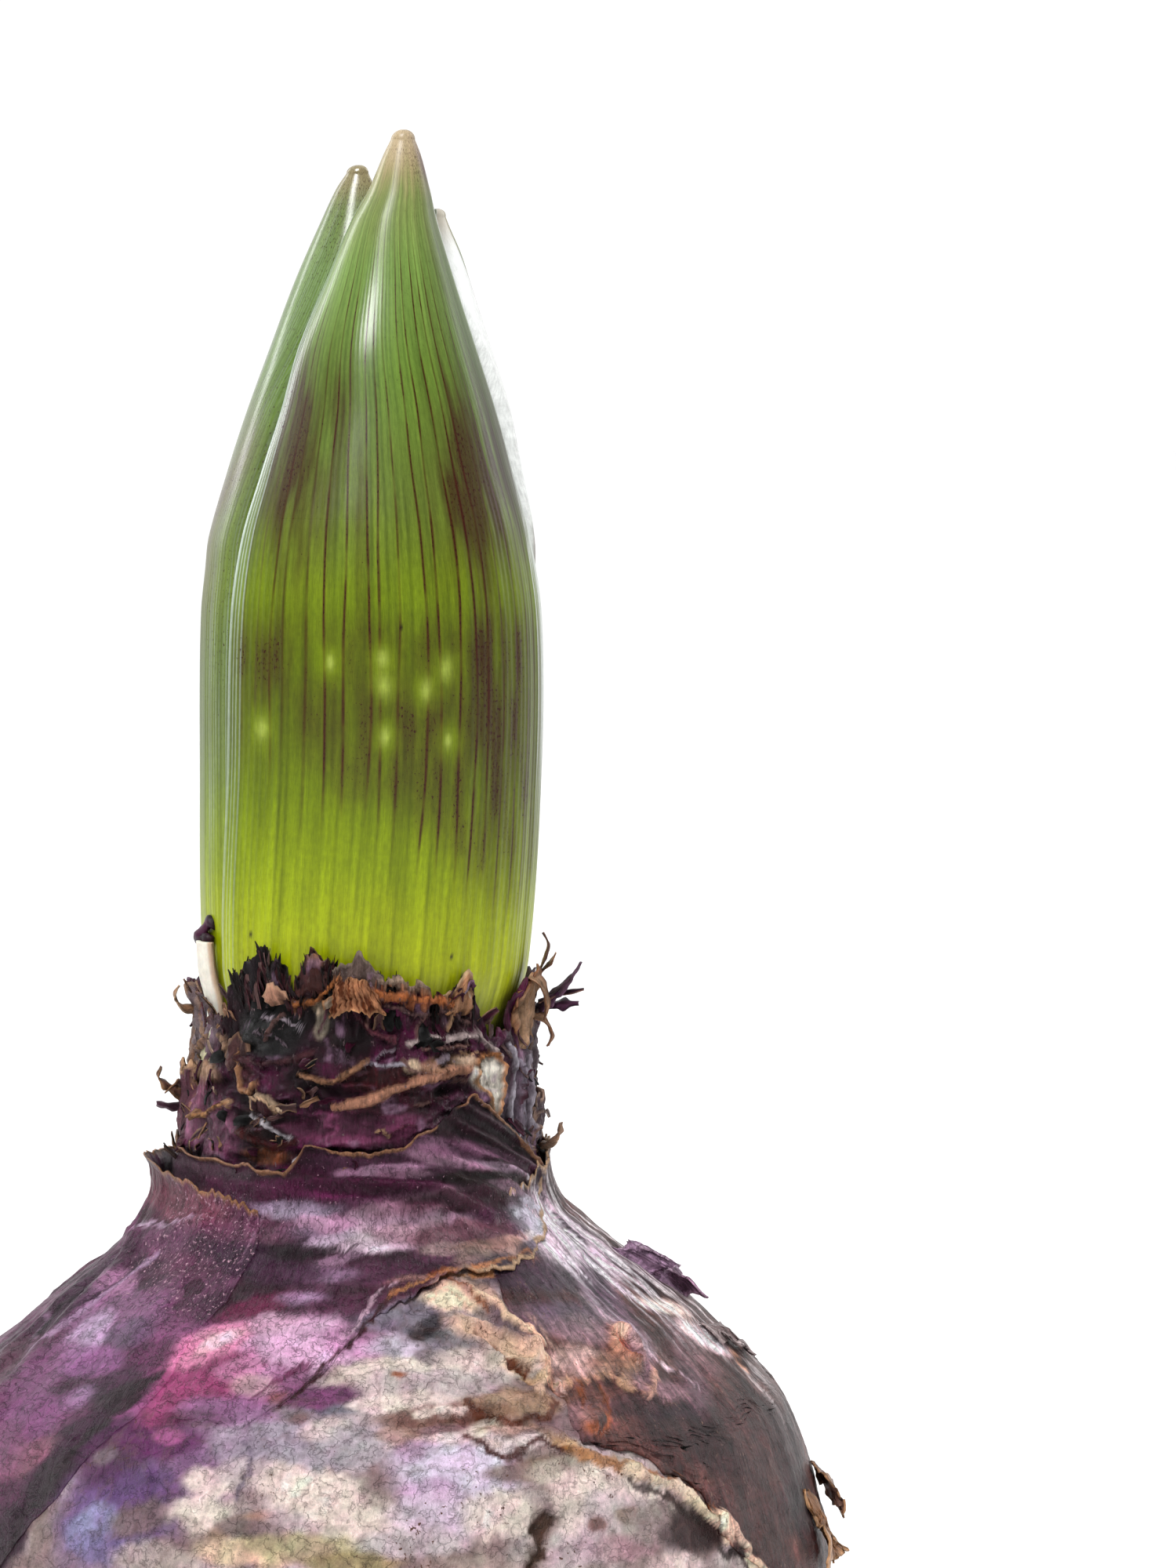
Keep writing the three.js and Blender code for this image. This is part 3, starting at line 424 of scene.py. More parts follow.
# Spots of colour, painted alike on every layer of the bulb, so that colour runs on across the layers' edges:
# direction, height, half width, half height, tilt, colour and strength.
SPOTS = [
    (-24, 44, 6.5, 4.6, 0, tone(156, 104, 140), 0.95), (-22, 39.6, 4.5, 2.2, 0, tone(134, 98, 136), 0.9),
    (-30, 37.0, 4.0, 3.2, 0, tone(112, 84, 132), 0.95), (-31, 34.0, 3.4, 1.8, 0, tone(140, 118, 140), 0.8),
    (-13, 41.6, 3.4, 1.8, 0, tone(166, 144, 164), 0.85), (-7, 41.0, 3.6, 2.4, 0, tone(164, 152, 166), 0.8),
    (-12, 46.4, 4.2, 2.2, 15, tone(190, 150, 178), 0.95),
    (-4, 46.5, 3.8, 1.7, 10, tone(224, 178, 210), 0.95), (-33, 40.4, 3.0, 2.0, 30, tone(96, 58, 92), 0.85),
    (-26, 41.0, 3.0, 1.2, 0, tone(112, 56, 104), 0.85), (-24, 44.6, 3.0, 2.2, 15, tone(158, 76, 116), 0.9),
    (-27, 42.8, 2.0, 1.6, 20, MAGENTA, 0.8), (-26, 46.0, 2.8, 1.3, 35, tone(214, 142, 172), 0.95),
    # The spot at direction -24, height 46.2 is a painted highlight.
    (-24, 46.2, 1.6, 0.6, 35, tone(240, 190, 200), 0.8), (-20, 47.9, 2.4, 0.8, 25, tone(136, 56, 92), 0.8),
    (-18, 45.0, 1.6, 0.8, 20, tone(198, 140, 172), 0.7), (-14, 47.2, 1.6, 0.8, 0, tone(208, 170, 190), 0.7),
    (-9, 46.8, 1.2, 0.9, 0, tone(206, 172, 196), 0.7), (-15, 44.2, 1.4, 0.7, 0, tone(206, 176, 178), 0.6),
    (-25, 41.2, 1.1, 0.5, 0, tone(190, 110, 160), 0.8), (-18, 42.8, 3.0, 0.9, 0, tone(160, 114, 154), 0.8),
    (-22, 42.3, 2.0, 0.6, 0, PLUM, 0.5), (-34, 40.0, 0.8, 0.5, 20, tone(150, 142, 140), 0.4),
    (-33, 36.4, 1.8, 1.3, 20, tone(152, 148, 184), 0.85), (-31, 35.3, 2.2, 0.9, 0, BLUE_VIOLET, 0.8),
    (-27, 38.8, 1.8, 0.9, 0, VIOLET, 0.6), (-26, 37.0, 2.0, 1.0, 10, tone(136, 118, 108), 0.7),
    (-23, 34.9, 2.8, 1.0, 0, tone(180, 166, 160), 0.85), (-17, 39.0, 1.6, 0.9, 0, CREAM, 0.85),
    (-18, 37.4, 1.9, 1.0, 0, CREAM, 0.85), (-12, 39.6, 2.0, 1.0, 0, GREY_WHITE, 0.8),
    (-13, 37.0, 1.8, 0.5, 25, TAN, 0.45), (-12, 35.6, 2.6, 0.8, 0, WARM_CREAM, 0.75),
    (-12, 36.9, 1.6, 0.6, 0, tone(140, 122, 124), 0.9), (-6, 43.2, 2.2, 0.9, 0, GREY, 0.7),
    (-9, 43.7, 1.2, 0.5, 0, tone(150, 100, 80), 0.75), (-7, 42.6, 0.5, 0.4, 0, RUST, 0.45),
    (-2, 43.4, 2.2, 0.7, 0, BLUE_GREY, 0.7), (-3, 42.0, 1.4, 0.8, 0, CREAM, 0.6),
    (-3, 38.7, 3.4, 1.4, -10, CREAM, 1.0), (3, 37.2, 3.0, 1.0, 0, CREAM, 0.85),
    (-5, 36.0, 3.4, 0.8, 0, OLIVE_YELLOW, 0.9), (1, 35.2, 2.6, 0.6, 0, tone(166, 150, 112), 0.8),
    (5, 39.8, 1.0, 1.8, -30, tone(132, 112, 112), 0.6), (2, 41.2, 2.2, 1.4, 0, tone(172, 164, 170), 0.85),
    (4, 44.8, 2.8, 1.3, 15, CREAM, 0.95), (4, 43.5, 1.6, 0.7, 0, tone(236, 214, 214), 0.9),
    (-4, 43.9, 2.4, 0.9, 10, tone(132, 84, 120), 1.0), (11, 44.6, 3.2, 1.1, 0, GREY_WHITE, 0.9),
    (12, 45.6, 2.0, 0.7, 0, CREAM, 0.7), (9, 43.6, 2.6, 0.6, 0, CREAM, 0.8),
    (8, 44.9, 0.5, 0.3, 0, tone(160, 90, 60), 0.9), (1, 46.6, 2.6, 1.0, 0, tone(190, 140, 176), 0.7),
    (5, 47.2, 2.2, 0.8, 0, tone(166, 124, 150), 0.8), (9, 48.8, 1.8, 0.8, 25, tone(176, 124, 140), 0.8),
    (12, 47.6, 3.4, 1.2, 0, tone(132, 124, 140), 0.85), (10.5, 46.4, 2.4, 0.9, 0, tone(188, 178, 192), 0.9),
    (14, 46.9, 1.2, 0.7, 0, CHARCOAL, 0.9), (16, 47.5, 0.9, 0.5, 40, CHARCOAL, 0.8),
    (14, 45.8, 1.0, 0.5, 0, tone(140, 124, 132), 0.8), (16, 49.2, 2.0, 0.6, 0, tone(186, 142, 132), 0.8),
    (18, 46.4, 1.6, 1.2, 0, tone(126, 122, 128), 0.7), (22, 48.5, 1.7, 1.1, 0, tone(250, 212, 188), 1.0),
    (27.5, 48.8, 1.2, 1.0, -40, tone(196, 158, 146), 0.85),
    (26, 46.6, 2.6, 1.0, -35, tone(222, 186, 164), 0.9), (24, 45.4, 3.0, 0.9, -10, CREAM, 0.8),
    (19, 44.6, 2.4, 0.8, 0, GREY_WHITE, 0.8), (30, 45.3, 1.4, 0.7, 0, WARM_CREAM, 0.85),
    (25, 43.1, 3.2, 1.0, 0, tone(168, 134, 112), 0.95), (23, 43.4, 1.2, 0.4, 0, tone(190, 160, 140), 0.6),
    (13, 42.7, 3.4, 0.8, 0, tone(128, 88, 78), 0.85), (11, 42.9, 0.6, 0.35, 0, CREAM, 0.9),
    (14, 43.0, 0.6, 0.4, 0, CREAM, 0.95), (16.5, 42.9, 0.5, 0.3, 0, CREAM, 0.9),
    (14, 41.9, 2.4, 0.35, 0, ROSE_BROWN, 0.6), (12.5, 41.0, 2.6, 0.7, 0, tone(244, 218, 214), 1.0),
    (19.5, 41.9, 1.4, 0.6, 20, CREAM, 0.9), (18, 40.9, 1.3, 0.5, -10, tone(216, 188, 180), 0.85),
    (24.5, 40.9, 1.7, 0.5, 10, tone(224, 208, 206), 0.9), (22, 41.8, 1.6, 0.5, 5, tone(190, 158, 144), 0.8),
    (29, 41.2, 1.6, 0.5, -40, tone(206, 162, 128), 0.85),
    (32, 41.8, 2.4, 1.0, 0, tone(134, 106, 112), 0.85), (9.5, 40.6, 1.5, 1.0, 0, tone(156, 122, 150), 0.9),
    (7, 41.8, 1.2, 0.7, 0, tone(170, 130, 110), 0.5), (14.5, 39.6, 3.6, 1.8, 0, PALE_LILAC, 1.0),
    (10, 38.6, 1.6, 0.9, 0, tone(196, 160, 192), 0.7), (12.5, 37.6, 3.2, 1.2, 0, tone(206, 186, 204), 0.9),
    (19, 37.4, 2.2, 1.4, 0, CREAM, 0.8), (8, 36.2, 3.0, 0.9, 0, tone(206, 190, 196), 0.8),
    (24, 39.6, 2.8, 0.6, 5, tone(124, 98, 86), 0.8), (29, 39.4, 2.2, 0.7, 0, tone(188, 178, 166), 0.85),
    (35, 38.6, 3.4, 1.2, 0, CREAM, 0.85), (32, 37.0, 3.0, 1.2, 0, GREY_WHITE, 0.9),
    (28, 37.6, 1.0, 1.4, 0, CREAM, 0.7), (37, 36.8, 0.9, 0.5, 0, tone(130, 108, 92), 0.8),
    (32, 36.5, 0.7, 0.4, 0, tone(120, 84, 74), 0.8), (30, 35.2, 1.8, 0.7, 0, tone(196, 172, 180), 0.8),
    (36, 35.2, 2.2, 0.8, 0, tone(182, 146, 154), 0.7), (41, 36.2, 2.4, 1.2, 0, tone(160, 144, 142), 0.85),
    (47.5, 35.5, 2.8, 1.2, 0, tone(70, 46, 48), 0.95), (43, 33.8, 2.0, 0.8, 0, tone(214, 194, 190), 0.95),
    (40.7, 37.9, 1.5, 0.5, -15, tone(232, 216, 208), 0.9),
    (15, 34.6, 3.0, 0.9, 0, tone(176, 156, 150), 0.8), (4, 33.7, 3.2, 0.9, 0, tone(130, 100, 84), 0.85),
    (-9, 33.6, 3.4, 1.0, 0, GREY_WHITE, 0.6),
    # the collar
    (40, 56.6, 6.0, 2.6, 0, tone(66, 38, 52), 0.9), (15, 55.3, 5.0, 1.1, 0, tone(92, 60, 80), 0.85),
    # The thin slanted spots from here to direction 52, height 54.2 are painted highlights on the collar's
    # wrinkles.
    (24, 56.4, 3.4, 0.5, -15, tone(150, 112, 136), 0.8),
    (34, 55.0, 3.8, 0.4, -18, tone(170, 132, 154), 0.85),
    (46, 55.6, 2.4, 0.3, -24, tone(140, 100, 124), 0.8),
    (52, 54.2, 2.6, 0.3, -24, tone(186, 158, 178), 0.85),
    (27, 53.4, 4.4, 0.35, 6, tone(150, 104, 130), 0.8), (19, 52.8, 4.2, 0.6, 10, tone(186, 146, 166), 0.95),
    # The two spots on the next line are painted highlights on the collar's folds.
    (8, 54.9, 2.4, 0.35, 5, tone(186, 146, 172), 0.8), (15, 54.6, 1.6, 0.3, 0, tone(176, 136, 158), 0.7),
    (-10, 53.7, 4.4, 0.6, 0, tone(122, 58, 96), 0.9), (5, 53.8, 4.4, 0.5, 0, tone(96, 48, 74), 0.85),
    (-18, 52.6, 2.8, 0.5, 0, tone(168, 150, 172), 0.85), (8, 51.8, 5.4, 0.9, 0, tone(206, 170, 192), 0.95),
    (2, 51.2, 3.2, 0.7, 0, tone(240, 214, 230), 0.95), (-8, 52.0, 2.0, 0.6, 0, tone(190, 144, 174), 0.8),
    (-17, 51.5, 2.2, 0.6, 0, tone(140, 116, 142), 0.75), (18, 51.6, 3.0, 0.8, 0, tone(186, 150, 164), 0.85),
    (-14, 51.0, 2.4, 0.8, 0, DARK_PLUM, 0.9), (-22, 50.6, 2.6, 1.3, -20, DARK_PLUM, 0.9),
    (-6, 51.4, 1.4, 0.4, 10, tone(200, 176, 198), 0.8), (-3, 50.4, 1.6, 0.4, 20, tone(180, 146, 170), 0.7),
    # Painted shade above the collar's fold: the dark plum spots at (5, 48.7) and (-2, 48.2). The lilac spots
    # at (-7, 49.6) and (-10, 48.4) are painted highlights.
    (5, 48.7, 4.2, 0.7, 12, tone(88, 44, 66), 0.95), (-7, 49.6, 2.2, 0.6, 0, tone(160, 126, 156), 0.8),
    (-10, 48.4, 1.6, 0.5, 0, tone(180, 148, 180), 0.7), (-16, 49.6, 2.6, 0.9, 0, tone(88, 52, 78), 0.85),
    (-2, 48.2, 3.0, 0.6, 10, tone(104, 56, 84), 0.8), (30, 51.4, 3.4, 0.9, 0, tone(128, 86, 98), 0.9),
    (24, 50.8, 1.6, 0.5, 0, tone(184, 158, 156), 0.7), (42, 50.4, 3.6, 0.9, 8, tone(214, 180, 166), 0.95),
    (36, 50.8, 2.4, 0.4, 0, tone(168, 130, 122), 0.8), (34, 52.9, 4.4, 0.7, 0, tone(84, 44, 60), 0.85),
    (44, 53.8, 3.2, 0.6, -8, tone(56, 28, 42), 0.95), (56, 53.0, 2.2, 0.9, 0, tone(70, 40, 52), 0.85),
    # This spot and the one at direction 50, height 53.3 are painted highlight streaks at the collar's right
    # tip.
    (58, 51.6, 2.0, 0.5, -25, tone(196, 190, 204), 0.8),
    (50, 53.3, 1.4, 0.3, -20, tone(170, 140, 156), 0.7), (-32, 53.6, 4.0, 0.7, 0, tone(100, 46, 78), 0.9),
    (-50, 54.6, 3.6, 0.9, 0, tone(84, 50, 68), 0.9),
    # the left tunic
    (-38, 51.6, 4.4, 1.3, 0, tone(124, 84, 104), 0.95), (-56, 52.0, 3.6, 1.3, 0, tone(136, 88, 100), 0.95),
    # The narrow dark spot at direction -72, height 51 is painted shade above the fold of the flared rim.
    (-76, 52.2, 3.6, 1.4, 0, tone(120, 76, 86), 0.95), (-72, 51.0, 3.4, 0.5, 0, tone(88, 52, 66), 0.8),
    (-30, 50.2, 2.2, 1.2, 0, tone(84, 56, 78), 0.85), (-46, 49.4, 3.6, 1.0, 0, tone(112, 72, 94), 0.85),
    (-58, 49.2, 2.4, 0.5, 10, tone(90, 60, 80), 0.7), (-52, 47.0, 4.4, 2.0, 0, tone(146, 108, 138), 0.95),
    # The next two spots, and the one at direction -62, height 48 below, are a painted sheen band on the left
    # tunic's fold.
    (-54.5, 45.6, 1.9, 1.9, 20, tone(184, 166, 188), 0.9),
    (-62, 46.8, 0.8, 2.4, 14, tone(150, 122, 146), 0.5),
    (-56, 43.4, 2.0, 2.4, 25, tone(142, 104, 134), 0.8), (-74, 46.5, 2.8, 3.4, 10, tone(84, 62, 78), 0.95),
    (-70, 43.0, 2.4, 2.6, 20, tone(112, 84, 96), 0.85), (-44, 46.0, 2.2, 1.2, 0, tone(120, 100, 124), 0.75),
    # Painted shade along the left tunic's rolled front fold: the dark plum spots at (-36, 45), (-39, 43.4),
    # (-36, 43), (-40, 41), (-42, 38.4), (-50, 36.4) and (-48, 34.6).
    (-48, 44.4, 2.8, 1.2, 0, tone(150, 106, 146), 0.85), (-36, 45.0, 1.9, 1.2, 30, tone(92, 56, 80), 0.8),
    (-39, 43.4, 2.2, 1.1, 20, tone(78, 52, 72), 0.85), (-36, 43.0, 1.9, 0.9, 40, tone(66, 28, 56), 0.95),
    (-45, 42.4, 1.4, 0.8, 30, tone(150, 126, 152), 0.8), (-40, 41.0, 2.2, 0.9, 45, tone(76, 40, 68), 0.95),
    (-52, 41.0, 3.2, 1.6, 20, tone(140, 96, 132), 0.9),
    (-48, 39.0, 2.6, 1.0, 35, tone(140, 100, 112), 0.85), (-42, 38.4, 2.2, 1.0, 50, tone(68, 30, 60), 0.95),
    (-58, 38.4, 4.2, 2.2, 20, tone(138, 94, 122), 0.9), (-50, 36.4, 2.4, 1.2, 45, tone(98, 60, 84), 0.9),
    (-62, 48.0, 2.0, 1.0, 0, tone(168, 130, 156), 0.8), (-48, 34.6, 2.8, 1.4, 45, tone(68, 30, 60), 0.95),
    (-60, 34.6, 4.4, 2.0, 20, tone(112, 74, 98), 0.85),
    # the right tunic
    # The dark spot at direction 50, height 50.4 is a painted shadow beside the collar's corner.
    (44, 49.2, 4.0, 1.5, -15, tone(80, 66, 80), 0.95), (50, 50.4, 1.8, 0.6, 0, tone(62, 52, 68), 0.9),
    (40, 47.2, 3.0, 1.2, -10, tone(102, 92, 108), 0.9),
    (33, 47.2, 1.6, 1.4, -30, tone(124, 104, 112), 0.85),
    (43, 46.4, 2.0, 1.2, 0, tone(140, 126, 132), 0.85), (38, 44.8, 2.8, 1.0, 0, tone(196, 178, 172), 0.9),
    (47, 44.6, 2.6, 0.9, 0, tone(144, 116, 100), 0.9), (33, 44.2, 1.6, 0.6, 10, tone(120, 92, 84), 0.8),
    (50.5, 45.4, 1.2, 1.5, -15, tone(226, 178, 152), 1.0),
    (50.0, 45.2, 0.75, 1.0, -15, tone(156, 84, 60), 0.95),
    (36, 41.8, 0.9, 0.9, 0, tone(176, 108, 74), 0.95), (36.2, 41.6, 0.4, 0.4, 0, DARK_BROWN, 0.9),
    (33.8, 43.9, 0.35, 0.35, 0, CREAM, 1.0), (45, 43.5, 0.6, 0.5, 0, tone(190, 160, 132), 0.9),
    (48, 43.3, 0.5, 0.4, 0, tone(196, 168, 140), 0.9), (34.5, 42.4, 1.2, 0.8, 0, tone(150, 126, 130), 0.7),
    (44, 42.2, 2.4, 0.8, 0, tone(92, 72, 76), 0.85), (54, 41.0, 4.4, 1.4, 0, tone(66, 54, 62), 0.9),
    (51.5, 43.0, 2.4, 0.8, -20, tone(146, 124, 132), 0.85), (48, 40.6, 3.0, 0.8, 0, tone(84, 64, 64), 0.85),
    (54, 45.2, 1.0, 2.4, -35, tone(136, 118, 130), 0.8),
    (60, 42.8, 1.2, 2.4, -35, tone(118, 100, 110), 0.8),
    (56, 47.6, 1.8, 2.2, -35, tone(128, 112, 128), 0.85),
    # The spot at direction 64, height 50.4 is a painted sheen on the right tunic's shoulder.
    (64, 50.4, 3.4, 3.4, -25, tone(218, 212, 226), 0.9), (60, 48.6, 1.2, 2.4, -35, tone(86, 74, 90), 0.7),
    (68, 44.6, 2.0, 2.6, -30, tone(120, 100, 104), 0.8),
    (73, 46.6, 2.2, 0.8, -30, tone(232, 216, 208), 0.9),
    # Painted highlight band along the right tunic's right side.
    (76, 44.6, 2.6, 1.0, -40, tone(244, 230, 234), 0.95),
    (80, 48.6, 2.2, 1.6, -30, tone(120, 100, 112), 0.7), (80, 42.4, 1.2, 1.2, 0, tone(66, 50, 54), 0.7),
    (79, 42.6, 0.5, 0.5, 0, PALE_TAN, 0.9), (81, 43.4, 0.5, 0.4, 0, PALE_TAN, 0.8),
    (66, 39.6, 4.0, 2.6, -20, tone(92, 70, 70), 0.85), (56, 38.8, 3.0, 1.2, -20, tone(74, 56, 58), 0.85),
    (58, 36.0, 4.0, 1.6, -10, tone(88, 66, 66), 0.85), (76, 38.0, 2.4, 3.4, -10, tone(72, 54, 56), 0.9),
    (72, 35.0, 3.0, 1.6, 0, tone(70, 56, 60), 0.8), (62, 34.0, 3.0, 1.2, 0, tone(84, 62, 60), 0.8),
]
CRACK = [(25.2, 37.2), (24.0, 36.4), (24.6, 35.4), (22.8, 34.6), (23.4, 33.6), (21.6, 32.2)]
RUST_LINE = [(24, 46.9), (26.5, 46.0), (29, 44.9), (30, 44.2)]
# Lines of colour: path of [direction, height] points, width, colour and strength.
STROKES = [
    (CRACK, 0.75, tone(62, 44, 38), 0.95),
    ([(24.6, 36.8), (23.4, 35.0), (22.6, 33.2)], 1.6, tone(122, 96, 84), 0.5),
    (RUST_LINE, 0.45, RUST, 0.95),
    ([(19, 49.5), (22.5, 49.7), (26, 49.0), (28, 47.9)], 0.4, tone(150, 90, 60), 0.8),
    ([(18.5, 43.4), (19.5, 42.5), (24, 42.2), (28.5, 42.4), (32, 43.3)], 0.5, tone(112, 60, 38), 0.95),
    ([(17, 41.3), (20, 40.6), (24, 40.4), (27.5, 40.9), (30.5, 40.2)], 0.45, tone(92, 44, 28), 0.95),
    ([(27, 48.9), (30.5, 48.0), (33, 46.6), (33.4, 45.4), (32, 44.4), (29, 43.7)], 0.6, tone(226, 192, 168),
     0.95),
    ([(28.5, 44.6), (33, 43.9), (38, 43.9), (42, 44.0)], 0.4, tone(206, 172, 146), 0.8),
    ([(36, 47.6), (35.5, 46.0), (38, 44.8)], 0.3, tone(178, 158, 146), 0.7),
    ([(36.6, 43.9), (36.3, 42.6), (37.6, 41.9), (39.6, 42.2), (40, 43.3)], 0.35, tone(120, 72, 46), 0.8),
    ([(52.6, 44.6), (52.4, 43.6), (49.6, 43.2), (46.8, 42.6)], 0.5, tone(200, 170, 150), 0.85),
    ([(31, 40.2), (34.5, 39.8), (38, 39.1), (42, 38.6)], 0.9, tone(180, 128, 88), 0.9),
    ([(37, 39.1), (43, 38.3), (47.6, 37.2), (51, 35.8), (55, 34.1), (60, 32.2)], 0.7, tone(230, 204, 182),
     0.95),
    ([(42, 39.0), (47, 38.0), (51, 36.6)], 0.3, tone(176, 112, 70), 0.8),
    ([(38, 38.4), (43.5, 37.4), (48, 36.0), (52, 34.3), (57, 32.6)], 0.5, tone(66, 48, 46), 0.85),
    ([(-13, 41.4), (-11.5, 39.6), (-13.5, 38.0)], 0.3, tone(120, 108, 126), 0.7),
    ([(-17, 44.9), (-13, 45.3), (-9, 45.0), (-7, 45.2)], 0.25, tone(120, 66, 96), 0.7),
    ([(-15, 43.6), (-13, 44.2), (-10, 44.9), (-7, 45.4)], 0.3, tone(112, 52, 84), 0.8),
    # The dark stroke is painted shade in the collar's fold, and the pale stroke after it is a painted
    # highlight along the fold.
    ([(12, 48.9), (7, 48.3), (3, 47.5), (-1, 46.4), (-5, 45.2), (-10, 43.3)], 0.4, tone(84, 34, 52), 0.95),
    ([(11, 49.3), (6.5, 48.8), (2.5, 48.0), (-1.4, 46.9)], 0.25, tone(216, 186, 200), 0.6),
    ([(8, 48.5), (14, 49.1), (22, 49.5), (30, 49.7), (38, 49.9), (46, 50.4)], 0.35, tone(184, 128, 92),
     0.85),
    ([(-5, 51.0), (-2, 50.6), (2, 50.9)], 0.3, DARK_PLUM, 0.8),
    # Painted shade in the crease along the left tunic's front fold.
    ([(-31.5, 44.6), (-34, 43.0), (-37, 41.2), (-41, 38.6), (-44, 36.4), (-48, 33.5)], 0.6,
     tone(66, 26, 56), 0.95),
    # A painted highlight along the fold of the flared rim.
    ([(-80, 50.3), (-68, 50.5), (-58, 51.0), (-48, 51.5)], 0.4, tone(206, 188, 204), 0.85),
    ([(-27, 52.6), (-27.5, 51.4), (-28.5, 50.2)], 0.2, tone(150, 120, 138), 0.7),
    # The pale strokes below are painted highlights on the left tunic's folds, and the dark strokes are
    # painted shade beside them.
    ([(-57, 49.8), (-61, 48.0), (-63, 45.6), (-65, 43.2)], 0.5, tone(190, 172, 194), 0.5),
    ([(-60, 49.2), (-64, 46.8), (-66, 44.2), (-67, 41.6)], 0.3, tone(72, 48, 68), 0.85),
    ([(-76, 48.8), (-70, 47.6), (-69, 45.8)], 0.35, tone(190, 174, 190), 0.4),
    ([(-72, 48.0), (-74, 46.4), (-72, 44.8)], 0.4, tone(54, 40, 50), 0.8),
    ([(-80, 46.2), (-74, 45.4), (-70, 44.0)], 0.35, tone(180, 164, 180), 0.35),
    # The pale strokes below are painted sheen on the right tunic's shoulder, with a dark stroke between them.
    ([(56, 52.6), (62, 49.6), (68, 46.6)], 0.35, SHEEN, 0.8),
    ([(60, 54.0), (68, 50.4), (74, 47.4)], 0.5, tone(236, 232, 240), 0.8),
    ([(66, 54.0), (72, 50.6), (78, 47.6)], 0.3, tone(60, 52, 62), 0.7),
    ([(50, 47.8), (55, 45.4), (60, 42.6)], 0.3, tone(206, 196, 206), 0.7),
]

# The heights in the two tables below are multiplied by this.
SCAR_RISE = 1.6
# Raised scars and blisters: direction, height, half width, half height, tilt, dome and rim heights.
BLISTERS = [
    (22, 48.5, 1.7, 1.1, 0, 0.26, 0.12), (27, 46.4, 2.4, 1.0, -38, -0.14, 0.28),
    (50.5, 45.4, 1.0, 1.3, -15, -0.06, 0.34), (36, 41.8, 0.8, 0.8, 0, 0.34, 0.12),
    (24, 43.2, 2.6, 1.1, 0, 0.30, 0.05), (14, 42.9, 0.5, 0.4, 0, 0.16, 0), (17, 42.8, 0.6, 0.4, 0, 0.16, 0),
    (20, 41.6, 1.3, 0.7, 20, 0.20, 0.06), (24.5, 40.9, 1.5, 0.6, 10, 0.22, 0.06),
    (29, 41.3, 1.4, 0.5, -30, 0.24, 0.05), (33.6, 44.0, 0.35, 0.35, 0, 0.2, 0),
    (47, 44.3, 1.8, 0.9, 0, 0.2, 0.05), (44.5, 43.6, 0.5, 0.4, 0, 0.16, 0),
    (47, 43.3, 0.45, 0.4, 0, 0.16, 0), (-2, 38.8, 3.2, 1.4, -10, 0.22, 0), (15, 39.6, 3.6, 1.6, 0, 0.16, 0),
    (4, 45.0, 2.2, 1.1, 15, 0.16, 0), (35, 38.3, 3.2, 1.6, 0, 0.2, 0), (11, 44.5, 2.6, 1.0, 0, 0.12, 0),
    (-12, 39.4, 2.4, 1.4, 0, 0.12, 0), (9.5, 40.6, 1.2, 0.7, 0, -0.12, 0),
    (14.5, 47.1, 1.4, 0.8, 20, -0.16, 0.06), (46, 47.9, 3.0, 2.2, 0, 0.12, 0),
]
# Ridges and cracks: path, width and rise.
RIDGES = [
    ([(26, 49.0), (30.5, 48.0), (33, 46.6), (33.4, 45.4), (32, 44.4), (29, 43.7)], 0.7, 0.28),
    ([(19, 42.2), (25, 42.0), (29, 42.1), (32.5, 43.0)], 0.5, -0.15),
    (RUST_LINE, 0.4, -0.24), (CRACK, 0.9, -0.3),
    ([(37, 39.2), (43, 38.4), (47.6, 37.3), (51, 35.9), (55, 34.2)], 0.8, 0.32),
    ([(31, 40.3), (35, 39.9), (39, 39.2)], 0.9, 0.28),
    ([(52.4, 44.4), (52.2, 43.6), (49.6, 43.2), (46.8, 42.6)], 0.6, 0.2),
    ([(-12, 41.4), (-11, 39.6), (-13, 38.0)], 0.4, -0.1),
    ([(8, 42.3), (14, 42.3), (20, 42.1)], 0.6, -0.14),
]


def paint(place, colour, spots, strokes):
    for *oval, other, strength in spots:
        colour = mix(colour, strength * place.blob(*oval), other)
    for path, width, other, strength in strokes:
        colour = mix(colour, strength * place.stroke(path, width), other)
    return colour


def rumple(points):
    """Broad unevenness, the same for every layer of the bulb, so that no layer shows through another."""
    wrinkles = ridged(cloud(points, 1.5, 103, 2))
    return 0.22 * cloud(points, 8.0, 101, 2) + 0.15 * cloud(points, 3.0, 102, 2) + 0.05 * wrinkles


def scars(place):
    """Scars, blisters and cracks, the same for the skin and the tunic beside it."""
    height = 0
    for *oval, dome, rim in BLISTERS:
        q = place.ring_distance(*oval)
        height = height + dome * (1 - smoothstep(q, 0.3, 1.1)) + rim * bell((q - 1) / 0.22)
    for path, width, rise in RIDGES:
        height = height + rise * bell(place.line_distance(path) / (0.5 * width))
    return SCAR_RISE * height


def scar_gloss(place):
    """Scars are smoother than the skin round them."""
    nearest = np.minimum.reduce([place.ring_distance(*oval) for *oval, _, _ in BLISTERS])
    return 0.8 * (1 - smoothstep(nearest, 0.8, 1.4))


# How far the layers stand off the body or the skin, and how thick the tunics are
SKIN_LIFT = 0.45
SKIN_LIMIT = 1.3
SHOULDER_DIP = 0.95
RIGHT_LIFT = 0.26
RIGHT_LIMIT = 1.5
COLLAR_LIFT = 0.32
LEFT_LIFT = 0.5
FLUSH = 0.03
PAPER = 0.12


def crackle(place):
    """Fine cracks of the skin, where the value is near 0."""
    return np.abs(cloud(place.points, 1.3, 41, 3))


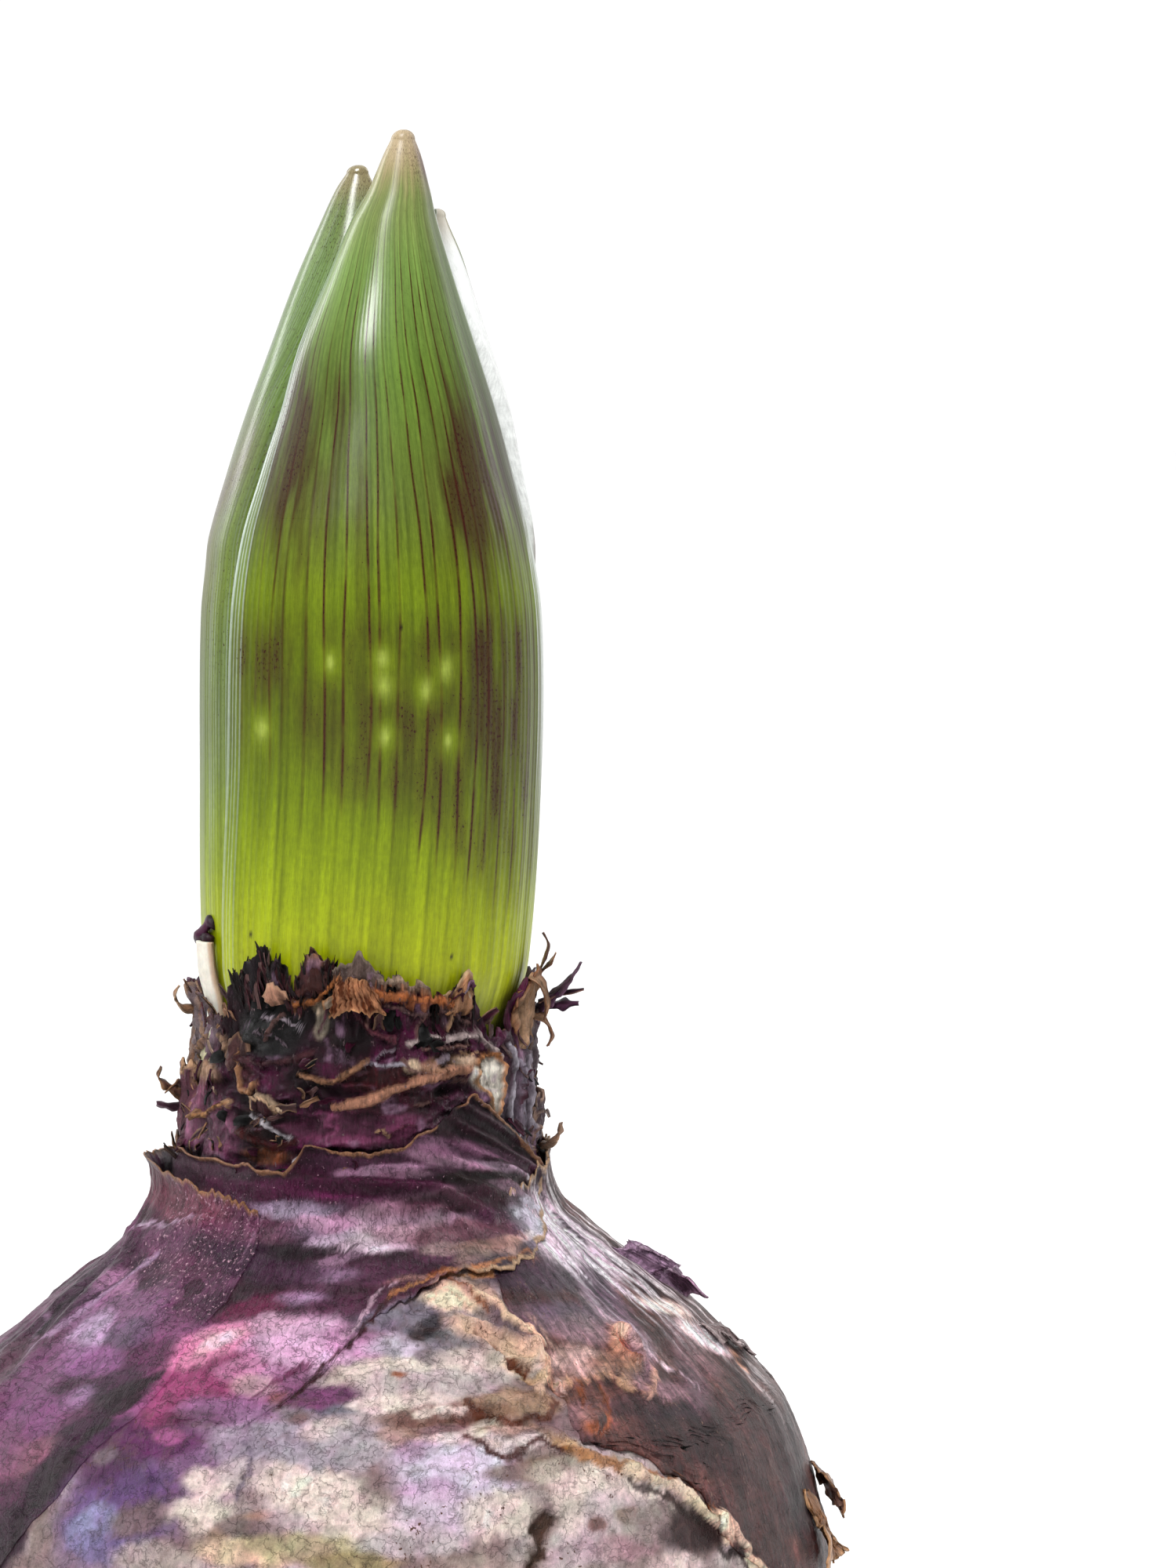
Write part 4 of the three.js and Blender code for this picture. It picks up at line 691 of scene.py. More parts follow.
def skin_top(place):
    """How far the skin stands off the body. The other layers are measured from it."""
    shoulder = smoothstep(place.z, 39.5, 45) * (1 - smoothstep(place.z, 51.5, 54.5))
    height = SKIN_LIFT - SHOULDER_DIP * shoulder + rumple(place.points) + scars(place)
    return height + 0.14 * (0.35 - crackle(place))


def collar_top(place):
    """The collar's lower left edge lies flush on the skin, so that it can't be seen."""
    above = smoothstep(place.z - torn(COLLAR_HEM, place.angle), 0, 2.6)
    above = np.maximum(above, smoothstep(place.angle, 3, 12))
    tight = lerp(1, 0.1, smoothstep(place.z, 53.4, 56.2))
    creases = 0.05 * cloud(place.points, 0.9, 71, 3) + 0.1 * cloud(place.points, 2.4, 72, 2)
    return skin_top(place) + lerp(FLUSH, COLLAR_LIFT * tight, above) + above * (pleats(place) + creases)


def spaced(*runs):
    """Joined runs of evenly spaced values, each (start, end, step)."""
    parts = [np.arange(start, end - 1e-6, step) for start, end, step in runs]
    return np.concatenate(parts + [[runs[-1][1]]])


# How the colours of the bulb's layers are graded
BRIGHTER = 1.22
RICHER = 1.12
CONTRAST = 0.3
MIDDLE_LIGHT = 0.3


def bulb_colour(place, base, other, seed, cast=(1.0, 1.0, 1.0)):
    """A layer's own mottling of two tones, the spots of all layers, a fine grain and a colour cast."""
    clouds = cloud(place.points, 2.4, seed)
    colour = mix(base, smoothstep(clouds, -0.35, 0.35), other)
    colour = paint(place, colour, SPOTS, STROKES)
    patchy = cloud(place.points, 1.1, seed + 1)
    fine = cloud(place.points, 0.5, seed + 2, 2)
    colour = colour * (1 + 0.24 * patchy + 0.22 * fine)[..., None] * np.array(cast)
    hue = cloud(place.points, 0.8, seed + 5, 2)[..., None]
    colour = colour * (1 + 0.12 * hue * np.array([0.8, -0.6, 0.4]))
    grey = colour.mean(axis=-1, keepdims=True)
    deeper = np.clip((np.maximum(grey, 0.001) / MIDDLE_LIGHT) ** CONTRAST, 0.4, 1.15)
    return np.maximum(BRIGHTER * deeper * (grey + RICHER * (colour - grey)), 0.003)


def skin():
    angles = spaced((-180, -60, 3), (-60, 62, 0.36), (62, 180, 3))[:-1]
    heights = spaced((2.2, 30, 1.0), (30, 52, 0.15), (52, 54.6, 0.5))
    place = Place(*np.meshgrid(angles, heights))
    lift = np.minimum(skin_top(place), SKIN_LIMIT) + 0.06 * cloud(place.points, 0.5, 42, 2)
    lift = lerp(lift * smoothstep(place.z, 2, 5), -0.9, smoothstep(place.z, 51.0, 53.0))
    points = on_bulb(place.angle, place.z, lift)
    colour = bulb_colour(place, GREY_WHITE, tone(152, 132, 130), 31)
    colour = mix(colour, 0.35 * smoothstep(crackle(place), 0.12, 0.0), BROWN)
    flecks = 0.42 * smoothstep(cloud(place.points, 4.0, 43, 2), -0.3, 0.5)
    pile = Pile()
    faces = grid_faces(len(heights), len(angles), True)
    pile.add(points, faces, colour, points, scar_gloss(place), flecks)
    pile.make("skin", SKIN_MATERIAL, "bulb_skin", "bulb_body")


FIBRE_RADIUS = 18


def fibres(place, size, seed):
    """Noise drawn out along the meridians."""
    across = np.radians(place.angle) * FIBRE_RADIUS / size
    return cloud(np.stack([across, place.arc / (9 * size), 0 * place.arc], axis=-1), 1.0, seed, 3)


def pleat_pattern(place):
    """Glossy folds that run across the collar, and wander: how strong they are, and their ridges."""
    wander = 0.5 * cloud(place.points, 5.0, 51, 2) + 0.012 * place.angle
    wander = wander + 0.1 * np.maximum(place.angle - 26, 0)
    phase = 2 * np.pi * (place.z + wander) / 1.15
    fade = bell((place.angle - 22) / 42) * bell((place.z - 53.6) / 2.1)
    corner = smoothstep(place.angle, 24, 34) * smoothstep(place.z, 53, 54.5)
    return np.maximum(fade, 0.85 * corner), (0.5 + 0.5 * np.sin(phase)) ** 1.6


def pleats(place):
    strength, ridge = pleat_pattern(place)
    return 0.36 * strength * ridge


def left_folds(place):
    """Long folds of the left tunic: path, width and rise."""
    paths = [
        ([(-84, 50.0), (-70, 50.0), (-56, 50.8), (-44, 51.8)], 0.5, 0.28),
        ([(-70, 49.6), (-66, 46.6), (-62, 43.0), (-59, 38)], 0.9, 0.45),
        ([(-78, 49.0), (-76, 45.0), (-72, 41)], 0.7, 0.35),
        ([(-46, 51), (-42, 47), (-40, 44)], 1.2, 0.18),
        ([(-36, 48.5), (-39, 44.5), (-44, 40), (-50, 34)], 1.6, -0.2),
        ([(-54, 49.5), (-50, 45.5), (-48, 41)], 1.0, -0.15),
    ]
    return sum(rise * bell(place.line_distance(path) / width) for path, width, rise in paths)


def tunic(name, columns, rows, edges, lift, colour_of, material, slot, node):
    """A thin dry tunic between two side edges, given by height, and a foot and a rim, given by direction."""
    side, other, foot, rim = edges
    middle = lerp(foot(np.zeros(len(rows))), rim(np.zeros(len(rows))), rows)
    angle = lerp(side(middle)[:, None], other(middle)[:, None], columns[None, :])
    z = lerp(foot(angle), rim(angle), rows[:, None])
    place = Place(angle, z)
    place.edge = {
        "rim": arc_length(rim(angle)) - place.arc,
        "foot": place.arc - arc_length(foot(angle)),
        "side": np.radians(angle - side(middle)[:, None]) * place.radius,
        "other": np.radians(other(middle)[:, None] - angle) * place.radius,
    }
    lifts = lift(place)
    points = np.concatenate([on_bulb(angle, z, lifts), on_bulb(angle, z, lifts - PAPER)])
    colour, flecks = colour_of(place)
    places = np.stack([np.radians(angle) * FIBRE_RADIUS, place.arc, 0 * z], axis=-1)
    faces = sheet_faces(len(rows), len(columns))
    pile = Pile()
    pile.add(points, faces, both(colour), both(places), both(scar_gloss(place)), both(flecks))
    return pile.make(name, material, slot, node)


def edge_tint(place, colour, key, width, other, seed):
    """A bleached torn edge."""
    ragged = 0.6 + 0.5 * cloud(place.points, 0.8, seed, 2)
    return mix(colour, 1 - smoothstep(place.edge[key] / (width * ragged), 0.5, 1.1), other)


def tunic_right():
    def lift(place):
        clear = smoothstep(place.edge["side"], 0.0, 1.8)
        wrinkles = (0.16 * smoothstep(place.z, 46, 52) + 0.06) * fibres(place, 0.8, 61)
        curl = 0.22 * bell((place.edge["side"] - 0.3) / 0.4) * smoothstep(place.z, 41.4, 40.4)
        top = skin_top(place) + lerp(FLUSH, RIGHT_LIFT, clear) + wrinkles * clear + curl
        top = top + 0.25 * bell(place.edge["rim"] / 0.5) + 0.03 * cloud(place.points, 0.6, 62, 2)
        return np.minimum(top, RIGHT_LIMIT)

    def colour_of(place):
        colour = bulb_colour(place, BROWN, tone(82, 60, 60), 63, (1.14, 0.95, 0.97))
        strands = fibres(place, 0.3, 64)
        seen = 1 - 0.9 * smoothstep(place.angle, 88, 104)
        # Painted sheen on the upper shoulder: pale strands, with charcoal strands between them.
        painted_sheen = seen * smoothstep(place.z, 43, 50) * smoothstep(place.angle, 46, 62)
        colour = mix(colour, 0.85 * painted_sheen * smoothstep(strands, 0.0, 0.5), tone(238, 234, 242))
        colour = mix(colour, 0.8 * painted_sheen * smoothstep(strands, -0.05, -0.5), CHARCOAL)
        # Painted highlight: a pale band of strands along the right side.
        edge = seen * smoothstep(place.z, 37, 43) * smoothstep(place.angle, 70, 80)
        edge = edge * smoothstep(strands, 0.1, 0.5)
        colour = mix(colour, 0.8 * edge, tone(220, 206, 208))
        dark = seen * smoothstep(cloud(place.points, 2.2, 68), 0.1, 0.45) * smoothstep(place.z, 48, 43)
        colour = mix(colour, 0.6 * (1 - seen), tone(112, 84, 80))
        colour = colour * (np.maximum(1 + 0.6 * strands, 0.3) * (1.12 - 0.5 * dark))[..., None]
        colour = edge_tint(place, colour, "rim", 0.4, PALE_TAN, 66)
        return edge_tint(place, colour, "foot", 1.2, TAN, 67), 0.25 + 0.2 * smoothstep(strands, 0, 0.5)

    edges = (
        lambda z: torn(RIGHT_FRONT_EDGE, z) + 1.2 * line_noise(z, 1.7, 1) + 0.6 * line_noise(z, 0.5, 2),
        lambda z: RIGHT_BACK_ANGLE + 1.5 * line_noise(z, 2.5, 3),
        lambda a: TUNIC_FOOT + 0.8 * line_noise(a, 5, 4) + 0.3 * line_noise(a, 1.4, 5),
        lambda a: torn(RIGHT_RIM, a) + 0.4 * line_noise(a, 4, 6) + 0.25 * line_noise(a, 1.2, 7),
    )
    columns = spaced((0, 0.36, 0.0036), (0.36, 1, 0.013))
    rows = spaced((0, 0.45, 0.012), (0.45, 1, 0.0052))
    looks = (lift, colour_of, BROWN_MATERIAL, "brown_tunic")
    tunic("tunic_right_paper", columns, rows, edges, *looks, "tunic_right")


def collar_torn(place):
    """The stretch of the collar's rim that is torn off, where it has no raised pale edge."""
    return smoothstep(place.angle, 25.5, 27) * (1 - smoothstep(place.angle, 32.5, 34.5))


def tunic_collar():
    def lift(place):
        hem = 0.06 * bell((place.edge["foot"] - 0.2) / 0.25) * smoothstep(place.angle, 6, 14)
        rim = 0.22 * bell((place.edge["rim"] - 0.05) / 0.16) * (1 - collar_torn(place))
        return collar_top(place) + hem + rim

    def colour_of(place):
        colour = bulb_colour(place, PLUM, tone(104, 64, 88), 73)
        streaks = cloud(place.points * [0.4, 0.4, 2.2], 1.0, 74)
        colour = colour * (1 + 0.35 * streaks)[..., None]
        strength, ridge = pleat_pattern(place)
        # Painted light and shade: the pleats' ridges are lighter and their hollows darker.
        colour = colour * (1 + strength * lerp(-0.5, 0.45, ridge))[..., None]
        right = smoothstep(place.angle, 22, 34)
        ragged = 0.7 + 0.6 * cloud(place.points, 0.8, 76, 2)
        hem = 1 - smoothstep(place.edge["foot"] / (0.6 * ragged), 0.5, 1.1)
        colour = mix(colour, hem * right, PALE_TAN)
        width = 0.2 + 0.2 * cloud(place.points, 1.6, 79, 3)
        rim = (1 - smoothstep(place.edge["rim"] / width, 0.7, 1.2)) * (1 - collar_torn(place))
        colour = mix(colour, rim, tone(172, 124, 94))
        return colour, 0.3 * smoothstep(place.z, 49, 52)

    edges = (
        lambda z: COLLAR_ANGLES[0] + 0 * z,
        lambda z: COLLAR_ANGLES[1] + 2.0 * line_noise(z, 0.9, 8) + 0.8 * line_noise(z, 0.3, 18),
        lambda a: torn(COLLAR_HEM, a) + 0.2 * line_noise(a, 3, 9) + 0.12 * line_noise(a, 1.0, 10),
        lambda a: torn(COLLAR_RIM, a) + 0.25 * line_noise(a, 5, 11) + 0.06 * line_noise(a, 1.1, 12),
    )
    columns = spaced((0, 0.5, 0.02), (0.5, 1, 0.0028))
    rows = spaced((0, 1, 0.011))
    looks = (lift, colour_of, PURPLE_MATERIAL, "purple_tunic")
    tunic("tunic_collar_paper", columns, rows, edges, *looks, "tunic_collar")


def tunic_left():
    def lift(place):
        flare = (
            LEFT_FLARE["lift"] * bell((place.angle - LEFT_FLARE["angle"]) / LEFT_FLARE["spread"])
            * smoothstep(place.z, LEFT_FLARE["from"], LEFT_FLARE["to"])
        )
        wrinkles = (0.06 + 0.2 * smoothstep(place.angle, -62, -74)) * fibres(place, 0.9, 81)
        front = smoothstep(place.edge["other"], 0.0, 2.6)
        rim = 0.24 * bell((place.edge["rim"] - 0.15) / 0.3) + flare
        top = skin_top(place) + LEFT_LIFT + left_folds(place) + wrinkles
        return lerp(collar_top(place) + FLUSH, top, front) + rim

    def colour_of(place):
        colour = bulb_colour(place, tone(118, 80, 104), tone(86, 56, 76), 82, (1.05, 0.92, 1.03))
        behind = smoothstep(place.angle + 16 * cloud(place.points, 5, 85), -80, -135)
        patches = smoothstep(cloud(place.points, 6, 83), -0.4, 0.5)
        plain = mix(tone(96, 66, 84), patches, BROWN)
        colour = mix(colour, 0.75 * behind, plain)
        strands = fibres(place, 0.35, 84)
        low = np.maximum(behind, smoothstep(place.z, 40, 30))
        colour = colour * (1 + lerp(0.26, 0.55, low) * strands)[..., None]
        colour = edge_tint(place, colour, "rim", 0.5, tone(176, 124, 84), 87)
        flecks = 0.46 * smoothstep(place.z, 45.5, 48) * smoothstep(place.angle, -74, -60)
        return edge_tint(place, colour, "foot", 1.2, TAN, 88), flecks

    edges = (
        lambda z: LEFT_BACK_ANGLE + 1.5 * line_noise(z, 2.5, 13),
        lambda z: torn(LEFT_FRONT_EDGE, z) + 0.8 * line_noise(z, 2.0, 14) + 0.25 * line_noise(z, 0.5, 19),
        lambda a: TUNIC_FOOT + 0.8 * line_noise(a, 5, 15) + 0.3 * line_noise(a, 1.4, 20),
        lambda a: torn(LEFT_RIM, a) + 0.25 * line_noise(a, 5, 16) + 0.2 * line_noise(a, 1.3, 17),
    )
    columns = spaced((0, 0.56, 0.014), (0.56, 1, 0.0036))
    rows = spaced((0, 0.5, 0.0125), (0.5, 1, 0.0052))
    looks = (lift, colour_of, PURPLE_MATERIAL, "purple_tunic")
    tunic("tunic_left_paper", columns, rows, edges, *looks, "tunic_left")


# The neck: crumpled dry skin that closes round the leaves, with torn edges, flakes and curled strips on it

NECK_WALL = [[54, 10.0], [57, 9.7], [60, 9.45], [63, 9.5], [66, 9.7], [69, 9.9]]
LEAF_HUG = 0.22
LEAST_LIFT = 0.06
# The neck's torn rim: direction and height.
NECK_RIM = [
    (-180, 65.6), (-150, 66.2), (-130, 65.0), (-112, 65.8), (-100, 64.6), (-90, 65.0), (-82, 64.2),
    (-76, 64.6), (-66, 64.0), (-60, 63.2), (-55, 63.2), (-52, 65.0), (-48, 66.0), (-45, 66.2), (-40, 67.0),
    (-36, 67.5), (-33, 66.9), (-30, 67.0), (-27, 66.2), (-25, 65.2), (-23, 64.9), (-21, 66.2),
    (-18.5, 67.6), (-14, 67.1), (-9, 66.6), (-8, 66.0), (-5, 66.5), (0, 66.9), (4, 66.6), (7, 66.0),
    (10, 66.1), (15, 65.8), (20, 65.5), (27, 65.0), (30, 64.6), (38, 65.1), (42, 65.8), (45, 64.0),
    (48, 63.2), (52, 62.1), (56, 62.8), (60, 62.6), (64, 64.3), (70, 65.2), (76, 65.6), (84, 64.6),
    (92, 64.2), (104, 65.4), (122, 64.8), (140, 66.0), (160, 65.2), (180, 65.6),
]
# Torn edges and raised strips on the neck, some of them painted highlights: path, rise, half width and
# colour.
NECK_EDGES = [
    ([(-7, 58.5), (0, 58.7), (6, 59.0), (14, 59.6), (22, 60.0), (30, 60.3), (38, 60.4)], 0.42, 0.24,
     tone(186, 134, 110)),
    ([(-21, 60.3), (-13, 59.9), (-8, 59.9), (-3, 60.5), (3, 61.2)], 0.35, 0.17, tone(160, 118, 92)),
    ([(-47, 61.4), (-44.5, 60.2), (-43, 59.2), (-38, 59.1), (-35.5, 59.6)], 0.35, 0.17, tone(176, 128, 94)),
    ([(-35, 58.9), (-31, 58.7), (-25.5, 58.2)], 0.4, 0.16, tone(218, 188, 158)),
    ([(-38, 57.8), (-30, 57.4), (-22, 56.6)], 0.25, 0.12, tone(196, 188, 194)),
    ([(-20, 55.3), (-16, 55.6), (-12, 55.4)], 0.2, 0.1, tone(206, 196, 202)),
    ([(-41, 56.9), (-34, 56.3), (-27, 56.0), (-20, 56.4)], 0.3, 0.2, tone(70, 40, 32)),
    ([(17, 62.0), (24, 62.3), (31, 62.1), (38, 62.4), (44, 62.3), (49, 61.7), (55, 61.1)], 0.4, 0.15,
     tone(190, 170, 168)),
    ([(22, 61.7), (30, 61.6), (40, 61.8)], 0.3, 0.12, tone(120, 90, 84)),
    ([(-60, 62), (-55, 61.4), (-50, 60.6)], 0.3, 0.15, tone(160, 128, 106)),
    ([(-82, 61.2), (-75, 61.0), (-68, 61.6)], 0.25, 0.14, tone(140, 112, 100)),
    ([(-71, 57.2), (-62, 57.5), (-50, 58.3)], 0.3, 0.13, tone(180, 132, 90)),
    ([(42.5, 60.7), (47, 61.1), (52, 61.2), (56, 60.5), (56.6, 59.3), (55, 58.3), (53, 57.3)], 0.3, 0.14,
     tone(196, 132, 86)),
    ([(43.5, 60.3), (44, 59.6), (47.5, 59.0), (50, 58.2), (51, 57.2)], 0.2, 0.11, tone(190, 142, 102)),
    ([(-25, 64.2), (-18, 64.2), (-13, 65.0), (-8, 65.8)], 0.4, 0.17, tone(176, 110, 68)),
    ([(5, 65.0), (10, 64.7), (20, 64.5), (28, 64.3), (34, 64.0)], 0.5, 0.24, tone(190, 116, 74)),
    ([(8, 65.6), (16, 65.5), (28, 65.1)], 0.35, 0.14, tone(176, 150, 130)),
    # The next two strips are painted highlight lines along the dark dome's upper border.
    ([(-38, 63.4), (-30, 63.3), (-22, 62.8)], 0.1, 0.06, tone(170, 156, 166)),
    ([(-40, 62.5), (-33, 62.4), (-26, 61.9)], 0.1, 0.05, tone(120, 104, 114)),
    ([(-50, 61.2), (-44, 60.9), (-36, 60.7), (-26, 60.9), (-18, 61.6)], 0.3, 0.16, tone(78, 52, 56)),
    ([(3, 61.1), (9, 60.95), (16, 60.9)], 0.2, 0.1, tone(180, 172, 184)),
    ([(-6, 64.6), (4, 62.6), (12, 62.2)], 0.25, 0.12, tone(96, 58, 66)),
    ([(10, 64.2), (20, 63.6), (32, 63.7), (42, 63.2)], 0.25, 0.12, tone(110, 84, 82)),
    # The next three strips are painted highlights on the fibres of the right column, and the fourth is a
    # painted white-blue highlight streak.
    ([(60, 61.5), (63, 59.6), (61, 57.9), (64, 56.2)], 0.3, 0.14, tone(190, 182, 194)),
    ([(66, 60.6), (69, 59.0), (67, 57.4), (70, 55.8)], 0.3, 0.12, tone(160, 150, 164)),
    ([(74, 60.9), (76, 58.8), (74, 57.2), (78, 56.0)], 0.3, 0.14, tone(180, 170, 182)),
    ([(58, 55.2), (64, 55.6), (72, 55.3)], 0.2, 0.14, tone(206, 204, 222)),
]
# Spots of colour on the neck, written as those of the bulb.
NECK_SPOTS = [
    (-38, 64.8, 2.2, 2.6, 0, tone(40, 24, 34), 0.9), (-16, 66.2, 1.2, 1.5, 0, tone(78, 52, 52), 0.9),
    (-15, 66.9, 1.0, 0.5, 0, tone(128, 92, 76), 0.8), (3, 66.1, 2.3, 0.9, 0, tone(108, 92, 88), 0.9),
    (20, 65.3, 1.8, 0.4, 0, tone(168, 140, 122), 0.7), (-75, 62.6, 2.8, 2.2, 0, tone(112, 98, 102), 0.85),
    (-69, 59.8, 2.2, 0.7, 0, tone(186, 150, 124), 0.85), (-66, 58.5, 2.0, 1.0, 0, tone(96, 50, 62), 0.85),
    (-57, 56.6, 3.2, 1.1, 0, tone(150, 94, 122), 0.95), (-61, 57.6, 2.4, 1.4, 0, tone(130, 86, 106), 0.75),
    (-72, 54.8, 1.6, 0.7, 0, tone(34, 24, 28), 0.85), (-34, 62.5, 3.0, 1.7, 0, tone(30, 16, 26), 0.95),
    (-32, 57.3, 2.4, 1.2, 0, tone(54, 32, 34), 0.9), (-30, 55.6, 1.6, 0.5, 0, tone(120, 72, 48), 0.85),
    (10, 60.0, 2.8, 1.0, 0, tone(62, 26, 40), 0.9), (0, 57.3, 4.2, 1.0, 0, tone(118, 66, 92), 0.95),
    (33, 63.5, 3.2, 1.1, 0, tone(56, 42, 44), 0.8), (18, 60.75, 0.5, 0.4, 0, tone(214, 188, 160), 0.9),
    (33, 60.7, 2.1, 0.5, 0, tone(170, 130, 106), 0.95), (38, 60.9, 0.8, 0.3, 0, tone(210, 180, 154), 0.8),
    (50, 60.0, 1.4, 1.0, 0, FLESH, 1.0), (53.5, 58.4, 0.7, 1.3, 0, FLESH, 1.0),
    (45.5, 60.1, 0.8, 0.6, 0, FLESH, 1.0), (66, 57.5, 1.6, 3.0, 0, tone(128, 112, 126), 0.9),
    # The white-blue spot at direction 65, height 55.5 is a painted highlight.
    (76, 58.5, 1.6, 3.4, 0, tone(120, 104, 116), 0.85), (65, 55.5, 1.4, 0.4, 0, tone(196, 194, 214), 0.8),
    (60, 60.6, 0.6, 1.6, 0, tone(70, 52, 60), 0.8), (-44, 60.0, 1.2, 0.8, 0, tone(84, 58, 58), 0.6),
    (-10, 61.8, 1.6, 1.0, 0, tone(44, 26, 34), 0.8), (-15, 63.1, 0.5, 0.8, 0, tone(150, 138, 122), 0.8),
    (-16, 64.0, 0.5, 0.4, 0, tone(206, 184, 158), 0.9), (14, 58.6, 3.0, 0.5, 10, tone(60, 30, 44), 0.8),
]
# Lumps of the neck: direction, height, half width, half height and rise.
DOMES = [
    (-34, 62.4, 3.0, 1.6, 0.75), (33, 60.7, 2.1, 0.5, 0.25), (51.5, 59.5, 1.6, 1.7, 0.1),
    (-31, 57.2, 2.4, 1.1, 0.3),
]
NECK_RADIUS = 10
NECK_FOOT = 53.4
NECK_ROWS = 104
# Past its rim the neck's wall folds inwards: share of its height, and depth behind its outer face.
NECK_FOLD = [(1.0, 0.14), (0.93, 0.2), (0.85, 0.3)]
WALL_GLOSS = 0.75
RANDOM_EDGES = 34
EDGE_TONES = [
    tone(150, 112, 88), tone(112, 84, 80), tone(130, 116, 126), tone(178, 140, 110), tone(92, 54, 66),
]
FRINGE = 190
FRINGE_FREE = (45, 66)
FLAKES = 170
# Parts of the neck that flakes keep clear of: direction from and to, height from and to.
FLAKE_FREE = [
    (-51, -17, 60.4, 64.4), (40, 60, 56.8, 61.6), (-10, 42, 58.0, 61.0), (-24, 34, 55.4, 58.2),
    (-12, 10, 63, 66),
]


def leaf_hull(angle, z):
    """The radius of the closed spear of leaves."""
    a = np.radians(angle)
    half_x = curve(LEAVES["leaf_front"]["halfX"], z)
    front = curve(LEAVES["leaf_front"]["halfY"], z)
    back = curve(LEAVES["leaf_back"]["halfY"], z) + 0.2
    half_y = np.where(np.cos(a) > 0, front, back)
    return 1 / np.hypot(np.sin(a) / half_x, np.cos(a) / half_y)


def on_neck(angle, z, lift):
    """The point at a height of the neck's wall, lifted off it. High up the wall hugs the leaves."""
    angle, z, lift = np.broadcast_arrays(angle, z, lift)
    hug = smoothstep(z, 60.0, 65.0)
    radius = lerp(curve(NECK_WALL, z), leaf_hull(angle, z) + LEAF_HUG, hug)
    point = around(angle, radius + lift, z)
    point[..., 0] += lerp(torn(NECK_LEAN, z), 0.33, hug)
    return point


def neck_rim(angle):
    jags = 0.3 * ridged(line_noise(angle, 2.6, 97)) + 0.26 * line_noise(angle, 0.9, 98)
    return torn(NECK_RIM, angle) - 0.25 + jags


def crumple(place):
    """Dry skin creased round the neck, with upright fibres above and at the sides."""
    along = np.radians(place.angle) * NECK_RADIUS
    upright = np.maximum(smoothstep(place.z, 61.5, 63.5), smoothstep(np.abs(place.angle), 54, 64))
    warp = 0.6 * cloud(place.points, 2.2, 95, 2)
    level = np.stack([0.32 * along, place.z + warp, 0 * along], axis=-1)
    standing = np.stack([along + warp, 0.22 * place.z, 0 * along], axis=-1)
    creases = lerp(ridged(cloud(level, 0.9, 92, 3)), ridged(cloud(standing, 0.7, 91, 3)), upright)
    lumps, grain = ridged(cloud(place.points, 2.8, 93, 2)), cloud(place.points, 0.4, 94, 2)
    return 0.3 * lumps + 0.38 * creases + 0.1 * grain


def random_edges():
    """Short torn edges all over the neck: level low down, upright above and at the sides."""
    draw = np.random.default_rng(31)
    edges = []
    for _ in range(RANDOM_EDGES):
        a, z = draw.uniform(-88, 88), draw.uniform(55, 64.5)
        slope = draw.normal(0, 0.35) + (2.2 if abs(a) > 56 or z > 62.5 else 0)
        half = draw.uniform(2, 6) / np.hypot(1, slope)
        path = [(a + s * half, z + 0.17 * slope * s * half + draw.normal(0, 0.15)) for s in (-1, 0, 1)]
        rise, wide = draw.uniform(0.15, 0.35), draw.uniform(0.05, 0.12)
        edges.append((path, rise, wide, EDGE_TONES[draw.integers(len(EDGE_TONES))]))
    return edges


def neck_wall(pile):
    angles = spaced((-180, -96, 2.4), (-96, 96, 0.62), (96, 180, 2.4))[:-1]
    share = np.concatenate([np.linspace(0, 1, NECK_ROWS), [v for v, depth in NECK_FOLD]])
    inside = np.concatenate([np.zeros(NECK_ROWS), [depth for v, depth in NECK_FOLD]])
    angle, v = np.meshgrid(angles, share)
    z = lerp(NECK_FOOT, neck_rim(angle), v)
    place = Place(angle, z, wander=0.35)
    relief = crumple(place)
    lift = relief.copy()
    for *oval, rise in DOMES:
        q = place.ring_distance(*oval)
        lift = lerp(lift, 0.6 * lift, np.clip(1.4 - q, 0, 1)) + rise * (1 - smoothstep(q, 0.35, 1.15))
    crest = smoothstep(relief, 0.1, 0.5)
    patches = smoothstep(cloud(place.points, 2.0, 96), -0.3, 0.4)
    colour = mix(NECK_BLACK, 0.7 * patches, NECK_PLUM)
    colour = paint(place, colour, NECK_SPOTS, [])
    smooth = place.blob(51, 59.6, 1.7, 1.8)
    # Painted shade and light: the wall is darker in the hollows of its crumples and lighter on their crests.
    colour = colour * lerp(0.45 + 0.95 * crest, 1.0, smooth)[..., None]
    # Painted glints: pale lilac on the highest crests of the crumples.
    crest_glint = smoothstep(relief, 0.4, 0.6) * smoothstep(cloud(place.points, 0.9, 88, 2), 0.0, 0.4)
    colour = mix(colour, 0.5 * crest_glint, tone(168, 132, 160))
    gloss = np.full(z.shape, WALL_GLOSS)
    broken = 1 + 0.6 * cloud(place.points, 0.9, 99, 3)
    for path, rise, half, other in NECK_EDGES + random_edges():
        strip = 1 - smoothstep(place.line_distance(path) / (half * broken), 0.75, 1.35)
        lift = lift + rise * strip
        colour = mix(colour, 0.95 * strip, other)
        gloss = gloss * (1 - 0.7 * strip)
    colour = colour * (1 + 0.5 * cloud(place.points, 0.35, 89, 2))[..., None]
    lift = lift + 0.25 * smoothstep(v, 0.9, 1.0) - inside[:, None]
    lift = np.maximum(lift, LEAST_LIFT - 1.2 * smoothstep(z, 61, 57))
    points = on_neck(angle, z, lift)
    # Pale flecks over the wall, painted as small glints.
    pile.add(points, grid_faces(len(share), len(angles), True), colour, points * [1, 1, 0.5], gloss, 0.3)


RAG_EDGE = 0.25
RAG_GLOSS = 0.3


